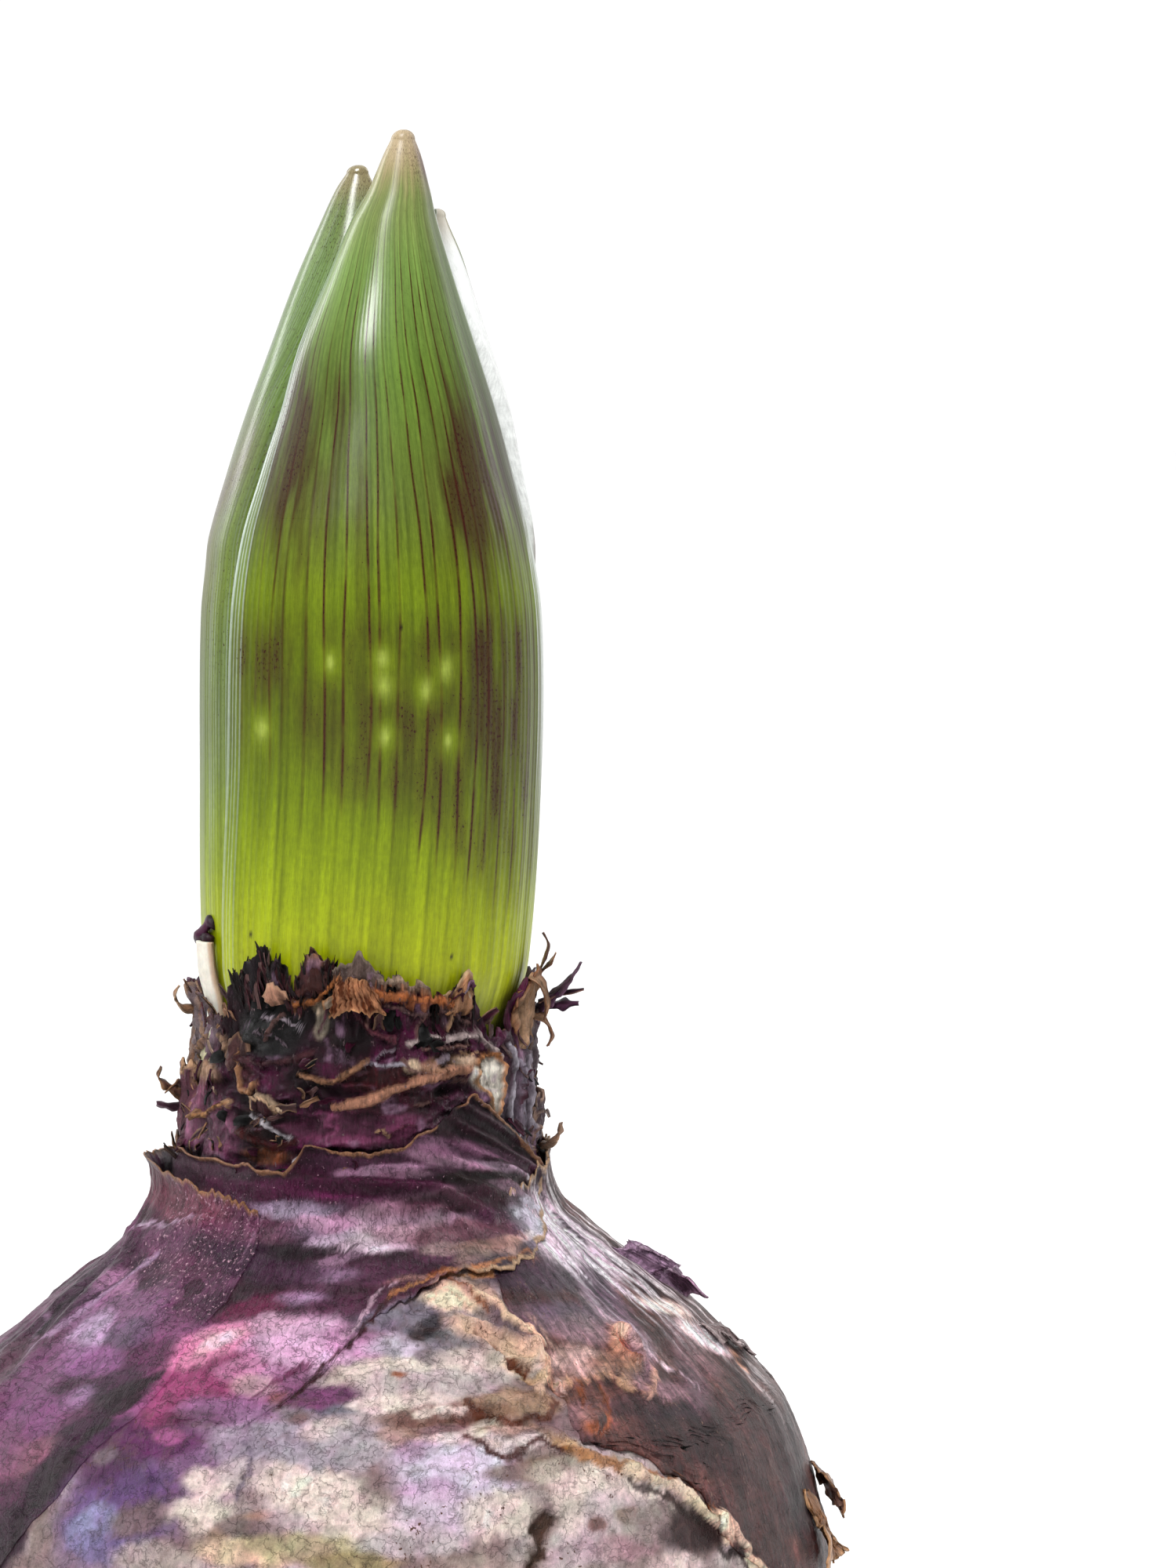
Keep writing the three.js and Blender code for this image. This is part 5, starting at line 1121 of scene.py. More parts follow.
def rag(pile, foot, rim, lift, base, edge, seed, ragged=0.25, fibre=0.06, fine=0.14):
    """A thin torn sheet on the neck, from its foot to its rim, both [direction, height] lists."""
    start, end = rim[0][0], rim[-1][0]
    tall = max(z for _, z in rim) - min(z for _, z in foot)
    columns = max(6, int(np.radians(end - start) * NECK_RADIUS / fine))
    rows = max(5, int(tall / fine))
    u, v = sheet_grid(rows, columns)
    angle = lerp(start, end, u)
    raw = np.stack([angle * 0.17, v * tall, 0 * u + seed], axis=-1)
    side = np.minimum(u, 1 - u) * np.radians(end - start) * NECK_RADIUS
    angle = angle + 6 * ragged * cloud(raw, 0.9, seed, 4) * (1 - smoothstep(side, 0, 1.0))
    jags = line_noise(angle, 4.5, seed + 1) + 0.8 * line_noise(angle, 1.4, seed + 2)
    jags = jags + 0.6 * line_noise(angle, 0.6, seed + 6)
    bottom = torn(foot, angle) + 0.8 * ragged * line_noise(angle, 2.5, seed + 3)
    z = lerp(bottom, torn(rim, angle) + ragged * jags, v)
    strands = cloud(raw * [3.0, 0.35, 1], 1.0, seed + 4, 3)
    lumps = cloud(raw, 1.1, seed + 5, 3)
    tuck = 0.35 * (1 - smoothstep(side, 0, 0.5)) + 0.25 * (1 - smoothstep(v * tall, 0, 0.5))
    rise = lerp(lift[0], lift[1], v) + 1.6 * fibre * ridged(strands) + 1.8 * fibre * lumps - tuck
    rise = np.maximum(rise, LEAST_LIFT)
    points = np.concatenate([on_neck(angle, z, rise + PAPER), on_neck(angle, z, rise)])
    faded = 1 - smoothstep(np.minimum(side, (1 - v) * tall) / (RAG_EDGE * (1 + 0.7 * lumps)), 0.5, 1.2)
    colour = base * (1 + 0.7 * strands + 0.5 * lumps)[..., None]
    colour = mix(colour, faded, edge * (1 + 0.4 * lumps)[..., None])
    # Painted shade: the inner face is darker than the outer one.
    pile.add(points, sheet_faces(rows, columns), np.concatenate([colour, 0.7 * colour]), both(raw), RAG_GLOSS)


def unit(vectors):
    return vectors / np.linalg.norm(vectors, axis=-1, keepdims=True)


def smooth_path(knots, step):
    """Evenly sampled points of a smooth curve through rows of numbers."""
    knots = np.array(knots, float)
    t = np.concatenate([[0], np.cumsum(np.linalg.norm(np.diff(knots[:, :3], axis=0), axis=1))])
    s = np.linspace(0, t[-1], max(6, int(t[-1] / step)))
    return np.stack([curve(np.stack([t, knots[:, k]], axis=-1), s) for k in range(knots.shape[1])], axis=-1)


STRIP_THICKNESS = 0.07
STRIP_CURL = 0.4


def ribbon(pile, knots, wide, colour, edge, seed, step, columns, point=0.9, gloss=0.4):
    """A thin torn strip through points in space: it faces outwards, curls across and ends raggedly."""
    spine = smooth_path(knots, step)
    way = unit(np.gradient(spine, axis=0))
    side = unit(np.cross(way, unit(spine * [1, 1, 0.001])))
    up = np.cross(side, way)
    t = np.linspace(0, 1, len(spine))[:, None]
    s = np.linspace(-1, 1, columns)[None, :]
    along = np.broadcast_to(t * len(spine) * step, (len(spine), columns))
    jags = line_noise(along + np.where(s > 0, 40.0, 0.0), 0.45, seed)
    half = wide * (1 + 0.55 * jags) * (1 - point * smoothstep(t, 0.6, 1.0))
    raw = np.stack([s * half / max(wide, 0.05) * 0.5, along, 0 * along + seed], axis=-1)
    grain = cloud(raw * [4, 1, 1], 0.9, seed + 1, 3)
    rise = STRIP_CURL * half * (s**2 - 0.4) + 0.35 * wide * cloud(raw, 0.7, seed + 2, 3)
    outer = spine[:, None] + side[:, None] * (half * s)[..., None] + up[:, None] * rise[..., None]
    shade = mix(colour, smoothstep(np.abs(s) + 0 * t, 0.55, 0.95), edge)
    shade = shade * (1 + 0.9 * grain)[..., None]
    points = np.concatenate([outer, outer - up[:, None] * STRIP_THICKNESS])
    # Painted shade: the inner face is darker than the outer one.
    colours = np.concatenate([shade, 0.7 * shade])
    pile.add(points, sheet_faces(len(spine), columns), colours, both(raw), gloss)


def by_wall(knots):
    """Points in space from [direction, lift, height] on the neck."""
    return np.array([on_neck(a, z, lift) for a, lift, z in knots])


def in_air(knots):
    """Points in space from [direction, radius, height]."""
    return np.array([around(a, r, z) + [torn(NECK_LEAN, z), 0, 0] for a, r, z in knots])


TUBE_SIDES = 10
TUBE_BUMPS = 0.16


def tube(pile, spine, wide, thick, colours, seed):
    """A closed strand of oval section along a spine of points. Its ends are drawn to a point."""
    n = len(spine)
    way = unit(np.gradient(spine, axis=0))
    side = unit(np.cross(unit(spine * [1, 1, 0.001]), way))
    up = np.cross(way, side)
    turn = np.linspace(0, 2 * np.pi, TUBE_SIDES, endpoint=False)
    ends = np.minimum(1, np.minimum(np.arange(n), n - 1 - np.arange(n)) / 3 + 0.05) ** 0.6
    ring = (
        np.cos(turn)[None, :, None] * side[:, None, :] * (wide * ends)[:, None, None]
        + np.sin(turn)[None, :, None] * up[:, None, :] * (thick * ends)[:, None, None]
    )
    bumps = cloud(spine[:, None, :] + ring, 0.5, seed, 3)
    points = spine[:, None, :] + ring * (1 + 3 * TUBE_BUMPS * bumps)[..., None]
    shade = colours[:, None, :] * (1 + 0.8 * cloud(points, 0.6, seed + 1, 3))[..., None]
    pile.add(points, grid_faces(n, len(turn), True), shade, points * [1, 1, 0.4])


def shred(pile, knots, wide, thick, colour, seed, tip=None):
    """A loose strand in the air through [direction, radius, height] points."""
    spine = smooth_path(in_air(knots), 0.1)
    t = np.linspace(0, 1, len(spine))
    size = 1 + 0.3 * line_noise(t * 6, 1.0, seed)
    colours = np.broadcast_to(colour, spine.shape)
    if tip is not None:
        colours = mix(colours, smoothstep(t, 0.6, 1), tip)
    tube(pile, spine, wide * size, thick * size, colours, seed)


RAGS = [
    # foot, rim, lift at foot and rim, colour, edge colour, then what differs from the usual
    ([(-12, 64.9), (9, 64.8)], [(-12, 66.2), (-8, 66.5), (-4, 66.9), (0, 67.0), (4, 66.5), (9, 66.0)],
     (0.3, 0.5), tone(112, 94, 88), tone(150, 132, 118), {"ragged": 0.25, "fibre": 0.12}),
    ([(-26, 64.4), (-10, 64.8)], [(-26, 65.0), (-22, 66.3), (-18, 67.6), (-13, 66.9), (-10, 66.2)],
     (0.35, 0.4), tone(84, 56, 54), tone(130, 96, 82), {"ragged": 0.35, "fibre": 0.12}),
    ([(30, 63.4), (45, 63.6)], [(30, 64.3), (34, 64.8), (37, 65.2), (40.5, 66.1), (43, 65.7), (45, 64.4)],
     (0.55, 0.4), tone(178, 130, 98), tone(214, 178, 142), {"ragged": 0.2, "fibre": 0.1}),
    ([(39.5, 63.9), (44, 64.0)], [(39.5, 64.8), (44, 65.0)], (0.75, 0.6), tone(226, 202, 176),
     tone(196, 150, 112), {}),
    ([(-37, 64.0), (-27, 64.2)], [(-37, 64.7), (-33, 65.4), (-28, 65.0), (-27, 64.6)], (0.6, 0.75),
     tone(186, 138, 116), tone(206, 160, 132), {"ragged": 0.2, "fibre": 0.08}),
    ([(-14.5, 63.9), (-9.5, 64.1)], [(-14.5, 64.5), (-9.5, 64.8)], (0.7, 0.7), tone(216, 194, 170), TAN,
     {"ragged": 0.1}),
    ([(-52, 60.4), (-41, 60.2)], [(-52, 62.0), (-47, 62.4), (-41, 62.0)], (0.4, 0.7), tone(84, 62, 62),
     tone(150, 116, 96), {"ragged": 0.3, "fibre": 0.12}),
    ([(-37, 57.9), (-26, 57.6)], [(-37, 59.2), (-31, 58.9), (-26, 58.3)], (0.5, 0.95), tone(66, 42, 46),
     tone(206, 170, 138), {"ragged": 0.2, "fibre": 0.1}),
    ([(66, 61.0), (82, 61.0)], [(66, 63.6), (70, 64.9), (76, 65.7), (82, 64.6)], (0.45, 0.6),
     tone(190, 150, 118), tone(150, 104, 76), {"ragged": 0.35, "fibre": 0.18}),
    ([(-94, 60.6), (-76, 60.4)], [(-94, 63.2), (-88, 64.8), (-82, 64.2), (-76, 64.8)], (0.35, 0.6),
     tone(120, 104, 106), tone(160, 130, 112), {"ragged": 0.4, "fibre": 0.18}),
    ([(-98, 55.6), (-72, 55.8)], [(-98, 59.0), (-88, 60.2), (-80, 60.0), (-72, 60.4)], (0.3, 0.8),
     tone(112, 72, 84), tone(190, 150, 118), {"ragged": 0.4, "fibre": 0.18}),
    ([(76, 55.2), (98, 55.4)], [(76, 57.6), (84, 58.6), (92, 57.8), (98, 58.6)], (0.3, 0.7),
     tone(96, 78, 84), tone(170, 140, 124), {"ragged": 0.4, "fibre": 0.2}),
    ([(80, 59.4), (98, 59.6)], [(80, 62.4), (86, 63.4), (92, 62.8), (98, 63.6)], (0.3, 0.5),
     tone(110, 94, 100), tone(150, 130, 128), {"ragged": 0.4, "fibre": 0.2}),
]
STRIPS = [
    # [direction, radius, height] knots, half width, colour, edge colour
    ([(88, 9.8, 62.9), (85, 10.8, 63.8), (83, 11.8, 64.8), (82, 12.4, 66.0)], 0.42, tone(96, 58, 88),
     tone(130, 96, 120)),
    ([(88, 9.9, 63.3), (85, 11.0, 64.3), (83, 12.2, 65.5)], 0.3, tone(60, 38, 54), tone(110, 80, 100)),
    ([(88, 9.9, 63.0), (85, 11.0, 63.4), (83, 12.4, 63.6)], 0.34, tone(110, 70, 98), tone(70, 44, 64)),
    ([(86, 10.0, 63.6), (84, 11.0, 64.0), (82, 12.7, 64.4)], 0.16, tone(70, 46, 62), tone(170, 130, 120)),
    ([(82, 9.9, 65.2), (82, 10.3, 66.2), (82, 10.5, 67.0), (82, 10.2, 67.7)], 0.24, tone(186, 142, 110),
     tone(110, 80, 76)),
    ([(84, 10.0, 65.3), (84, 10.6, 65.9), (83, 10.9, 66.5)], 0.26, tone(200, 164, 134), tone(160, 116, 90)),
    ([(-86, 9.8, 63.2), (-85, 10.7, 63.3), (-84, 11.2, 63.9), (-83, 11.0, 64.6)], 0.3, tone(186, 140, 108),
     tone(220, 186, 156)),
    ([(-82, 9.9, 63.9), (-81, 10.4, 64.4), (-80, 10.8, 65.0)], 0.22, tone(160, 114, 88), tone(120, 86, 70)),
    ([(-86, 10.0, 58.0), (-84, 11.0, 58.5), (-82, 11.9, 59.3), (-81, 11.8, 59.9)], 0.42, tone(130, 88, 74),
     tone(186, 142, 108)),
    ([(-86, 10.0, 57.5), (-84, 11.0, 57.5), (-82, 11.9, 57.8)], 0.32, tone(116, 78, 96),
     tone(196, 176, 186)),
    ([(-83, 10.2, 58.7), (-81, 10.9, 58.9), (-80, 11.5, 58.4)], 0.26, tone(90, 62, 56), tone(170, 128, 96)),
    ([(-80, 10.4, 54.4), (-79, 11.0, 54.9), (-78, 11.5, 55.5)], 0.4, tone(50, 38, 40), tone(96, 78, 70)),
    ([(-84, 10.2, 54.7), (-82, 10.8, 55.4), (-80, 11.0, 56.1)], 0.3, tone(70, 50, 52), tone(170, 126, 92)),
    ([(84, 10.2, 55.0), (83, 11.0, 55.4), (82, 11.8, 56.0), (81, 11.9, 56.6)], 0.44, tone(146, 112, 92),
     tone(196, 160, 134)),
    ([(80, 10.1, 57.0), (80, 10.9, 57.4), (80, 11.2, 57.0)], 0.26, tone(100, 84, 84), tone(170, 146, 136)),
    ([(80, 9.9, 62.9), (81, 10.6, 62.5), (81, 11.0, 61.8), (81, 10.8, 61.1)], 0.34, tone(180, 140, 110),
     tone(140, 98, 76)),
    ([(72, 9.9, 65.4), (74, 10.5, 64.8), (76, 10.8, 63.7), (78, 10.6, 62.7)], 0.36, tone(196, 156, 124),
     tone(150, 106, 80)),
]
BACK_RAGS = 26
BACK_TONES = [NECK_BLACK, NECK_PLUM, BARK_GREY, tone(58, 42, 46), tone(120, 86, 66)]
FRINGE_TONES = [tone(46, 28, 38), tone(78, 50, 54), tone(112, 84, 82)]
FLAKE_TONES = [tone(40, 26, 34), tone(74, 36, 54), tone(96, 72, 72), tone(150, 112, 88), tone(176, 150, 132)]


def flap(pile):
    """The tan flap folded down over the rim, with ribs that fan out from its fold."""
    rows, columns = 40, 80
    u, v = sheet_grid(rows, columns)
    left = lerp(-7.5, -11.0, v) + 0.7 * line_noise(v * 3, 0.5, 201) + 0.4 * line_noise(v * 3, 0.2, 205)
    right = lerp(3.0, 9.0, v ** 0.8) + 0.8 * line_noise(v * 3, 0.4, 206)
    angle = lerp(left, right, u)
    hem = 63.5 + 0.3 * np.sin(3.1 * u) + 0.22 * line_noise(u * 9, 1.0, 202)
    hem = hem + 0.14 * line_noise(u * 9, 0.4, 207)
    z = lerp(65.9 - 0.3 * u + 0.1 * line_noise(u * 9, 0.8, 208), hem, v)
    fan = np.stack([u * 15 + 0.6 * np.sin(5 * v), v * 1.4, 0 * u], axis=-1)
    ribs = ridged(cloud(fan, 1.0, 203, 3))
    lumps = cloud(np.stack([u * 4, v * 3, 0 * u], axis=-1), 1.0, 209, 3)
    rise = 0.6 + 0.5 * np.sin(np.pi * 0.62 * v) + 0.14 * ribs + 0.3 * lumps
    colour = mix(tone(104, 62, 46), smoothstep(ribs, 0.1, 0.8), tone(178, 124, 92))
    colour = mix(colour, 0.8 * smoothstep(v, 0.9, 1.0) + 0.5 * smoothstep(v, 0.12, 0), tone(196, 146, 106))
    colour = colour * (1 + 0.5 * lumps)[..., None]
    points = np.concatenate([on_neck(angle, z, rise + PAPER), on_neck(angle, z, rise - 0.05)])
    # Painted shade: the inner face is darker than the outer one.
    colours = np.concatenate([colour, 0.6 * colour])
    pile.add(points, sheet_faces(rows, columns)[:, ::-1], colours, points * [1, 1, 0.3], 0.2)


def fringe(pile, draw):
    """Thin upright fibres along the rim, thickest on the tufts."""
    for k in range(FRINGE):
        a = draw.uniform(-50, -9) if k % 3 else draw.uniform(-96, 96)
        if FRINGE_FREE[0] < a < FRINGE_FREE[1]:
            continue
        top = float(neck_rim(np.array(a))) + draw.uniform(-0.5, 0.3)
        tall = draw.uniform(0.7, 2.4)
        lean = draw.normal(0, 1.2)
        middle = (a + 0.5 * lean, draw.uniform(0.4, 0.6), top - 0.5 * tall)
        knots = by_wall([(a, 0.35, top - tall), middle, (a + lean, draw.uniform(0.25, 0.8), top)])
        base = FRINGE_TONES[draw.choice(3, p=[0.6, 0.28, 0.12])]
        wide = draw.uniform(0.05, 0.13)
        ribbon(pile, knots, wide, base, 1.5 * base, 800 + k, step=0.16, columns=3, gloss=0.7)


def flakes(pile, draw):
    """Small torn flakes that stand off the neck: level low down, upright above."""
    for k in range(FLAKES):
        a = draw.uniform(-94, 94) if k % 4 else draw.uniform(96, 264)
        z = draw.uniform(54.6, 64.4)
        if any(low < a < high and foot < z < top for low, high, foot, top in FLAKE_FREE):
            continue
        upright = z > 62 or abs(a) > 56
        long = draw.uniform(0.4, 1.4)
        turn = draw.normal(90 if upright else 0, 28) + (180 if draw.random() < 0.5 else 0)
        da, dz = 5.6 * long * np.cos(np.radians(turn)), long * np.sin(np.radians(turn))
        end = (a + da, draw.uniform(0.6, 1.1), min(z + dz, 65.2))
        knots = by_wall([(a, 0.3, z), (a + 0.5 * da, 0.62, z + 0.5 * dz), end])
        base = FLAKE_TONES[draw.choice(5, p=[0.4, 0.32, 0.16, 0.08, 0.04])]
        edge = tone(160, 124, 98) if draw.random() < 0.25 else 1.4 * base
        wide = draw.uniform(0.1, 0.34)
        ribbon(pile, knots, wide, base, edge, 1100 + k, step=0.12, columns=5, point=0.6, gloss=0.6)


def back_rags(pile, draw):
    """Torn sheets round the back of the neck, which the photo doesn't show."""
    for k in range(BACK_RAGS):
        middle = 100 + 162 * (k + draw.random()) / BACK_RAGS
        half = draw.uniform(8, 22)
        low = draw.uniform(54.6, 61.5)
        tall = draw.uniform(2.0, 4.2)
        rim = [
            (middle + half * s, min(low + tall * draw.uniform(0.75, 1.1), 66.5))
            for s in (-1, -0.5, 0, 0.5, 1)
        ]
        foot = [(middle - half, low), (middle + half, low)]
        depth = 0.15 + 0.5 * (66 - low) / 12
        base = BACK_TONES[draw.integers(len(BACK_TONES))]
        edge = tone(150, 112, 84) if draw.random() < 0.5 else tone(90, 74, 74)
        lift = (depth, depth + 0.2)
        rag(pile, foot, rim, lift, base, edge, 300 + 9 * k, ragged=0.3, fibre=0.14, fine=0.3)


def neck():
    pile = Pile()
    neck_wall(pile)
    for k, (foot, rim, lift, base, edge, more) in enumerate(RAGS):
        rag(pile, foot, rim, lift, base, edge, 3 + 7 * k, **more)
    flap(pile)
    draw = np.random.default_rng(12)
    back_rags(pile, draw)
    for k, (knots, wide, colour, edge) in enumerate(STRIPS):
        ribbon(pile, in_air(knots), wide, colour, edge, 500 + 3 * k, step=0.07, columns=9, point=0.55)
    fringe(pile, draw)
    flakes(pile, draw)
    pile.make("neck_rags", DRY_MATERIAL, "dry_scales", "neck_scales")


TONGUE_ANGLE = -70
TONGUE_HALF_ANGLE = 6.4
TONGUE_CAP = [
    # [direction, radius, height] knots, half width, half thickness, colour, tip colour and seed
    ([(-77, 9.6, 67.0), (-76, 9.85, 67.6), (-75, 9.6, 68.2), (-73, 9.1, 68.6)], 0.55, 0.4, tone(70, 36, 58),
     tone(36, 24, 34), 220),
    ([(-71, 9.5, 67.0), (-73, 9.8, 67.5), (-75, 9.9, 67.3)], 0.4, 0.3, tone(56, 30, 48), None, 223),
]


def tongue():
    """The pale tongue of flesh beside the leaves, with its dried cap."""
    rows, columns = 60, 40
    u, v = sheet_grid(rows, columns)
    angle = TONGUE_ANGLE + TONGUE_HALF_ANGLE * (2 * u - 1) * (1 - 0.25 * v)
    z = lerp(60.5, 67.35, v)
    raw = np.stack([u * 2, v * 7, 0 * u], axis=-1)
    ribs = cloud(raw * [3, 0.4, 1], 1.0, 210, 3)
    rise = 0.15 + 0.35 * np.sin(np.pi * u) ** 0.7 + 0.05 * ribs
    colour = mix(FLESH, smoothstep(v, 0.35, 0.15), tone(196, 188, 150))
    colour = mix(colour, smoothstep(np.abs(u - 0.5), 0.4, 0.5), tone(206, 178, 154))
    colour = colour * (1 + 0.12 * ribs)[..., None]
    points = np.concatenate([on_neck(angle, z, rise), on_neck(angle, z, rise - 0.3)])
    pile = Pile()
    pile.add(points, sheet_faces(rows, columns), both(colour), points)
    for knots, wide, thick, base, tip, seed in TONGUE_CAP:
        shred(pile, knots, wide, thick, base, seed, tip)
    pile.make("neck_flesh", FLESH_MATERIAL, "bulb_skin", "bulb_body")


# Scraps of the right tunic that stand up from it

SCRAP_ROWS = 36
SCRAPS = [
    # [direction, lift, height] of the root's start and end and of the tip's, bulge, colour, edge colour
    ([(80, -0.4, 49.8), (86, -0.4, 46.7), (83, 0.9, 49.0), (86, 1.3, 47.0)], 0.4, tone(186, 150, 180),
     tone(214, 184, 206)),
    ([(83, -0.4, 48.4), (88, -0.4, 46.5), (85, 0.5, 48.0), (88, 1.0, 46.4)], 0.3, tone(140, 104, 128),
     tone(190, 150, 176)),
    ([(76, 0.8, 35.6), (80, 0.8, 35.4), (78, 1.3, 31.4), (83, 1.5, 31.6)], 0.3, tone(160, 112, 78),
     tone(196, 150, 112)),
    ([(86, 0.8, 36.4), (94, 0.8, 36.0), (87, 1.9, 33.6), (92, 1.6, 33.8)], 0.3, tone(120, 88, 78),
     tone(176, 132, 100)),
    ([(78, 0.0, 45.3), (90, 0.0, 44.6), (80, 0.6, 43.4), (86, 0.6, 43.0)], 0.2, tone(130, 108, 108),
     tone(196, 176, 176)),
]


def scrap(pile, corners, bulge, base, edge, seed):
    """A curled scrap between four corners."""
    u, v = sheet_grid(SCRAP_ROWS, SCRAP_ROWS)
    weights = [(1 - u) * (1 - v), u * (1 - v), (1 - u) * v, u * v]
    angle, lift, z = (sum(w * c[k] for w, c in zip(weights, corners)) for k in range(3))
    raw = np.stack([u * 4, v * 4, 0 * u + seed], axis=-1)
    grain = cloud(raw, 0.8, seed, 3)
    free = smoothstep(v, 0, 0.5) + smoothstep(np.abs(u - 0.5), 0.2, 0.5)
    z = z + 0.5 * free * cloud(raw, 1.3, seed + 40, 4)
    angle = angle + 2.5 * free * cloud(raw, 1.3, seed + 50, 4)
    lift = lift * (1 + 0.3 * free * cloud(raw, 1.6, seed + 60, 3))
    lift = lift + bulge * np.sin(np.pi * u) * np.sin(np.pi * v) + 0.12 * grain
    points = np.concatenate([on_bulb(angle, z, lift + 0.06), on_bulb(angle, z, lift - 0.06)])
    colour = base * (1 + 0.4 * grain)[..., None]
    rim = 1 - smoothstep(np.minimum(np.minimum(u, 1 - u), 1 - v), 0.02, 0.09)
    colour = mix(colour, rim, edge * (1 + 0.3 * grain)[..., None])
    pile.add(points, sheet_faces(SCRAP_ROWS, SCRAP_ROWS), both(colour), both(raw))


def scraps():
    pile = Pile()
    for seed, (corners, bulge, base, edge) in enumerate(SCRAPS, 230):
        scrap(pile, corners, bulge, base, edge, seed)
    pile.make("tunic_scraps", BROWN_MATERIAL, "brown_tunic", "tunic_right")


# Leaves

RIB_SPACING = 0.45
LEAF_WIDTH = 26.0
LEAF_MARGIN = 0.25
CLASP_GAP = 0.06
TIP_STEP = 0.06
# The ground colour of the leaves: height and colour.
GREENS = [
    (58, tone(206, 208, 140)), (63, tone(192, 198, 80)), (66, tone(174, 184, 40)), (69, tone(158, 172, 24)),
    (72, tone(140, 158, 14)), (76, tone(116, 134, 14)), (80, tone(102, 116, 26)), (84, tone(106, 124, 36)),
    (88, tone(122, 142, 46)), (93, tone(112, 130, 62)), (100, tone(110, 138, 64)),
    (106, tone(126, 156, 82)), (110, tone(138, 152, 92)), (112, tone(176, 164, 120)),
    (114, tone(206, 184, 150)),
]
# Colours of the veins, the dark patches and the painted lines of light
STRIPE = tone(74, 38, 30)
BLOTCH = tone(72, 50, 44)
SHINE_WHITE = tone(206, 220, 212)
# The dark veins: place across the leaf from 0 to 1, strength, and the height where each begins.
VEINS = [
    (0.05, 0.35, 77), (0.093, 0.4, 80), (0.134, 0.65, 76.5), (0.164, 0.4, 77), (0.219, 0.55, 73),
    (0.264, 0.9, 74.8), (0.311, 0.85, 75), (0.366, 0.95, 74.8), (0.391, 0.8, 73.8), (0.43, 0.7, 72.7),
    (0.489, 0.9, 71.2), (0.522, 1.0, 71.7), (0.572, 1.0, 71), (0.611, 1.0, 70), (0.646, 0.8, 71),
    (0.691, 0.7, 69), (0.742, 0.75, 69), (0.788, 0.6, 69), (0.834, 0.5, 69),
]
# Patches of dark flecks: x, height, half width, half height, strength.
FLECK_PATCHES = [
    (-3.5, 95.6, 1.7, 6.2, 1.5), (-0.7, 97.0, 0.7, 3.8, 0.8), (0.35, 91.8, 0.3, 4.6, 0.9),
    (7.2, 94.0, 2.2, 5.4, 1.3), (5.6, 97.0, 0.8, 4.6, 0.6), (4.6, 104.5, 0.9, 4.4, 0.5),
    (-6.0, 82.0, 2.6, 5.0, 0.22), (7.2, 78.0, 2.8, 7.0, 0.3), (3.0, 79.0, 3.0, 4.0, 0.2),
    (8.6, 86.0, 1.4, 7.0, 0.35),
]
# Where the dark band of the front leaf begins: x, and the height there.
BAND_FOOT = ([-7, -4, -1.5, 2, 5, 8], [81.0, 80.5, 76.8, 74.8, 72.6, 70.0])
# Pale spots and dark specks: x and height.
PALE_SPOTS = [
    (-1.2, 83.7), (1.7, 83.9), (4.0, 82.1), (5.2, 83.3), (5.3, 79.2), (1.7, 79.5), (-5.2, 79.8),
    (1.7, 82.4),
]
DARK_SPECKS = [(5.5, 66.7), (6.1, 65.5), (-6.0, 68.1), (-7.9, 70.6), (2.7, 85.6)]


def greens(z):
    """The ground colour of the leaves at a height."""
    heights = [height for height, _ in GREENS]
    return np.stack([np.interp(z, heights, [green[k] for _, green in GREENS]) for k in range(3)], axis=-1)


def patch(x, z, x0, z0, wide, high):
    """An oval patch on a leaf, seen from the front."""
    return np.exp(-(((x - x0) / wide) ** 2) - ((z - z0) / high) ** 2)


def veins(u, z):
    """The dark veins, each a broken line."""
    total = 0
    for k, (middle, strength, low) in enumerate(VEINS):
        away = (u - middle) * LEAF_WIDTH + 0.12 * line_noise(z + 9 * k, 6.0, 245)
        broken = 0.55 + 0.45 * smoothstep(line_noise(z + 31 * k, 1.6, 246), -0.6, 0.2)
        fade = smoothstep(z, low - 1.5, low + 3.5) * (1 - 0.7 * smoothstep(z, 100 + 5 * strength, 108))
        line = 1 - smoothstep(np.abs(away), 0.03, 0.12)
        total = np.maximum(total, 1.2 * strength * line * broken * fade)
    return total


def fine_lines(u, z, seed):
    """Faint uneven lines along the leaf, one to each rib."""
    across = u * LEAF_WIDTH / RIB_SPACING
    k = np.floor(across)
    depth = cell_value(np.stack([k, 0 * k, 0 * k], axis=-1), seed)
    return bell((across - k - 0.5) / 0.25) * depth * (0.6 + 0.4 * line_noise(z + 17 * k, 3.0, seed + 1))


def painted_light_lines(edge, places, width):
    """Painted white lines of light along a margin, at the given distances from it."""
    return sum(bell((edge - at) / width) for at in places)


def streaks(u, z, across, along, size, seed, octaves=4):
    """Noise drawn out along a leaf."""
    return cloud(np.stack([u * across, z * along, 0 * z], axis=-1), size, seed, octaves)


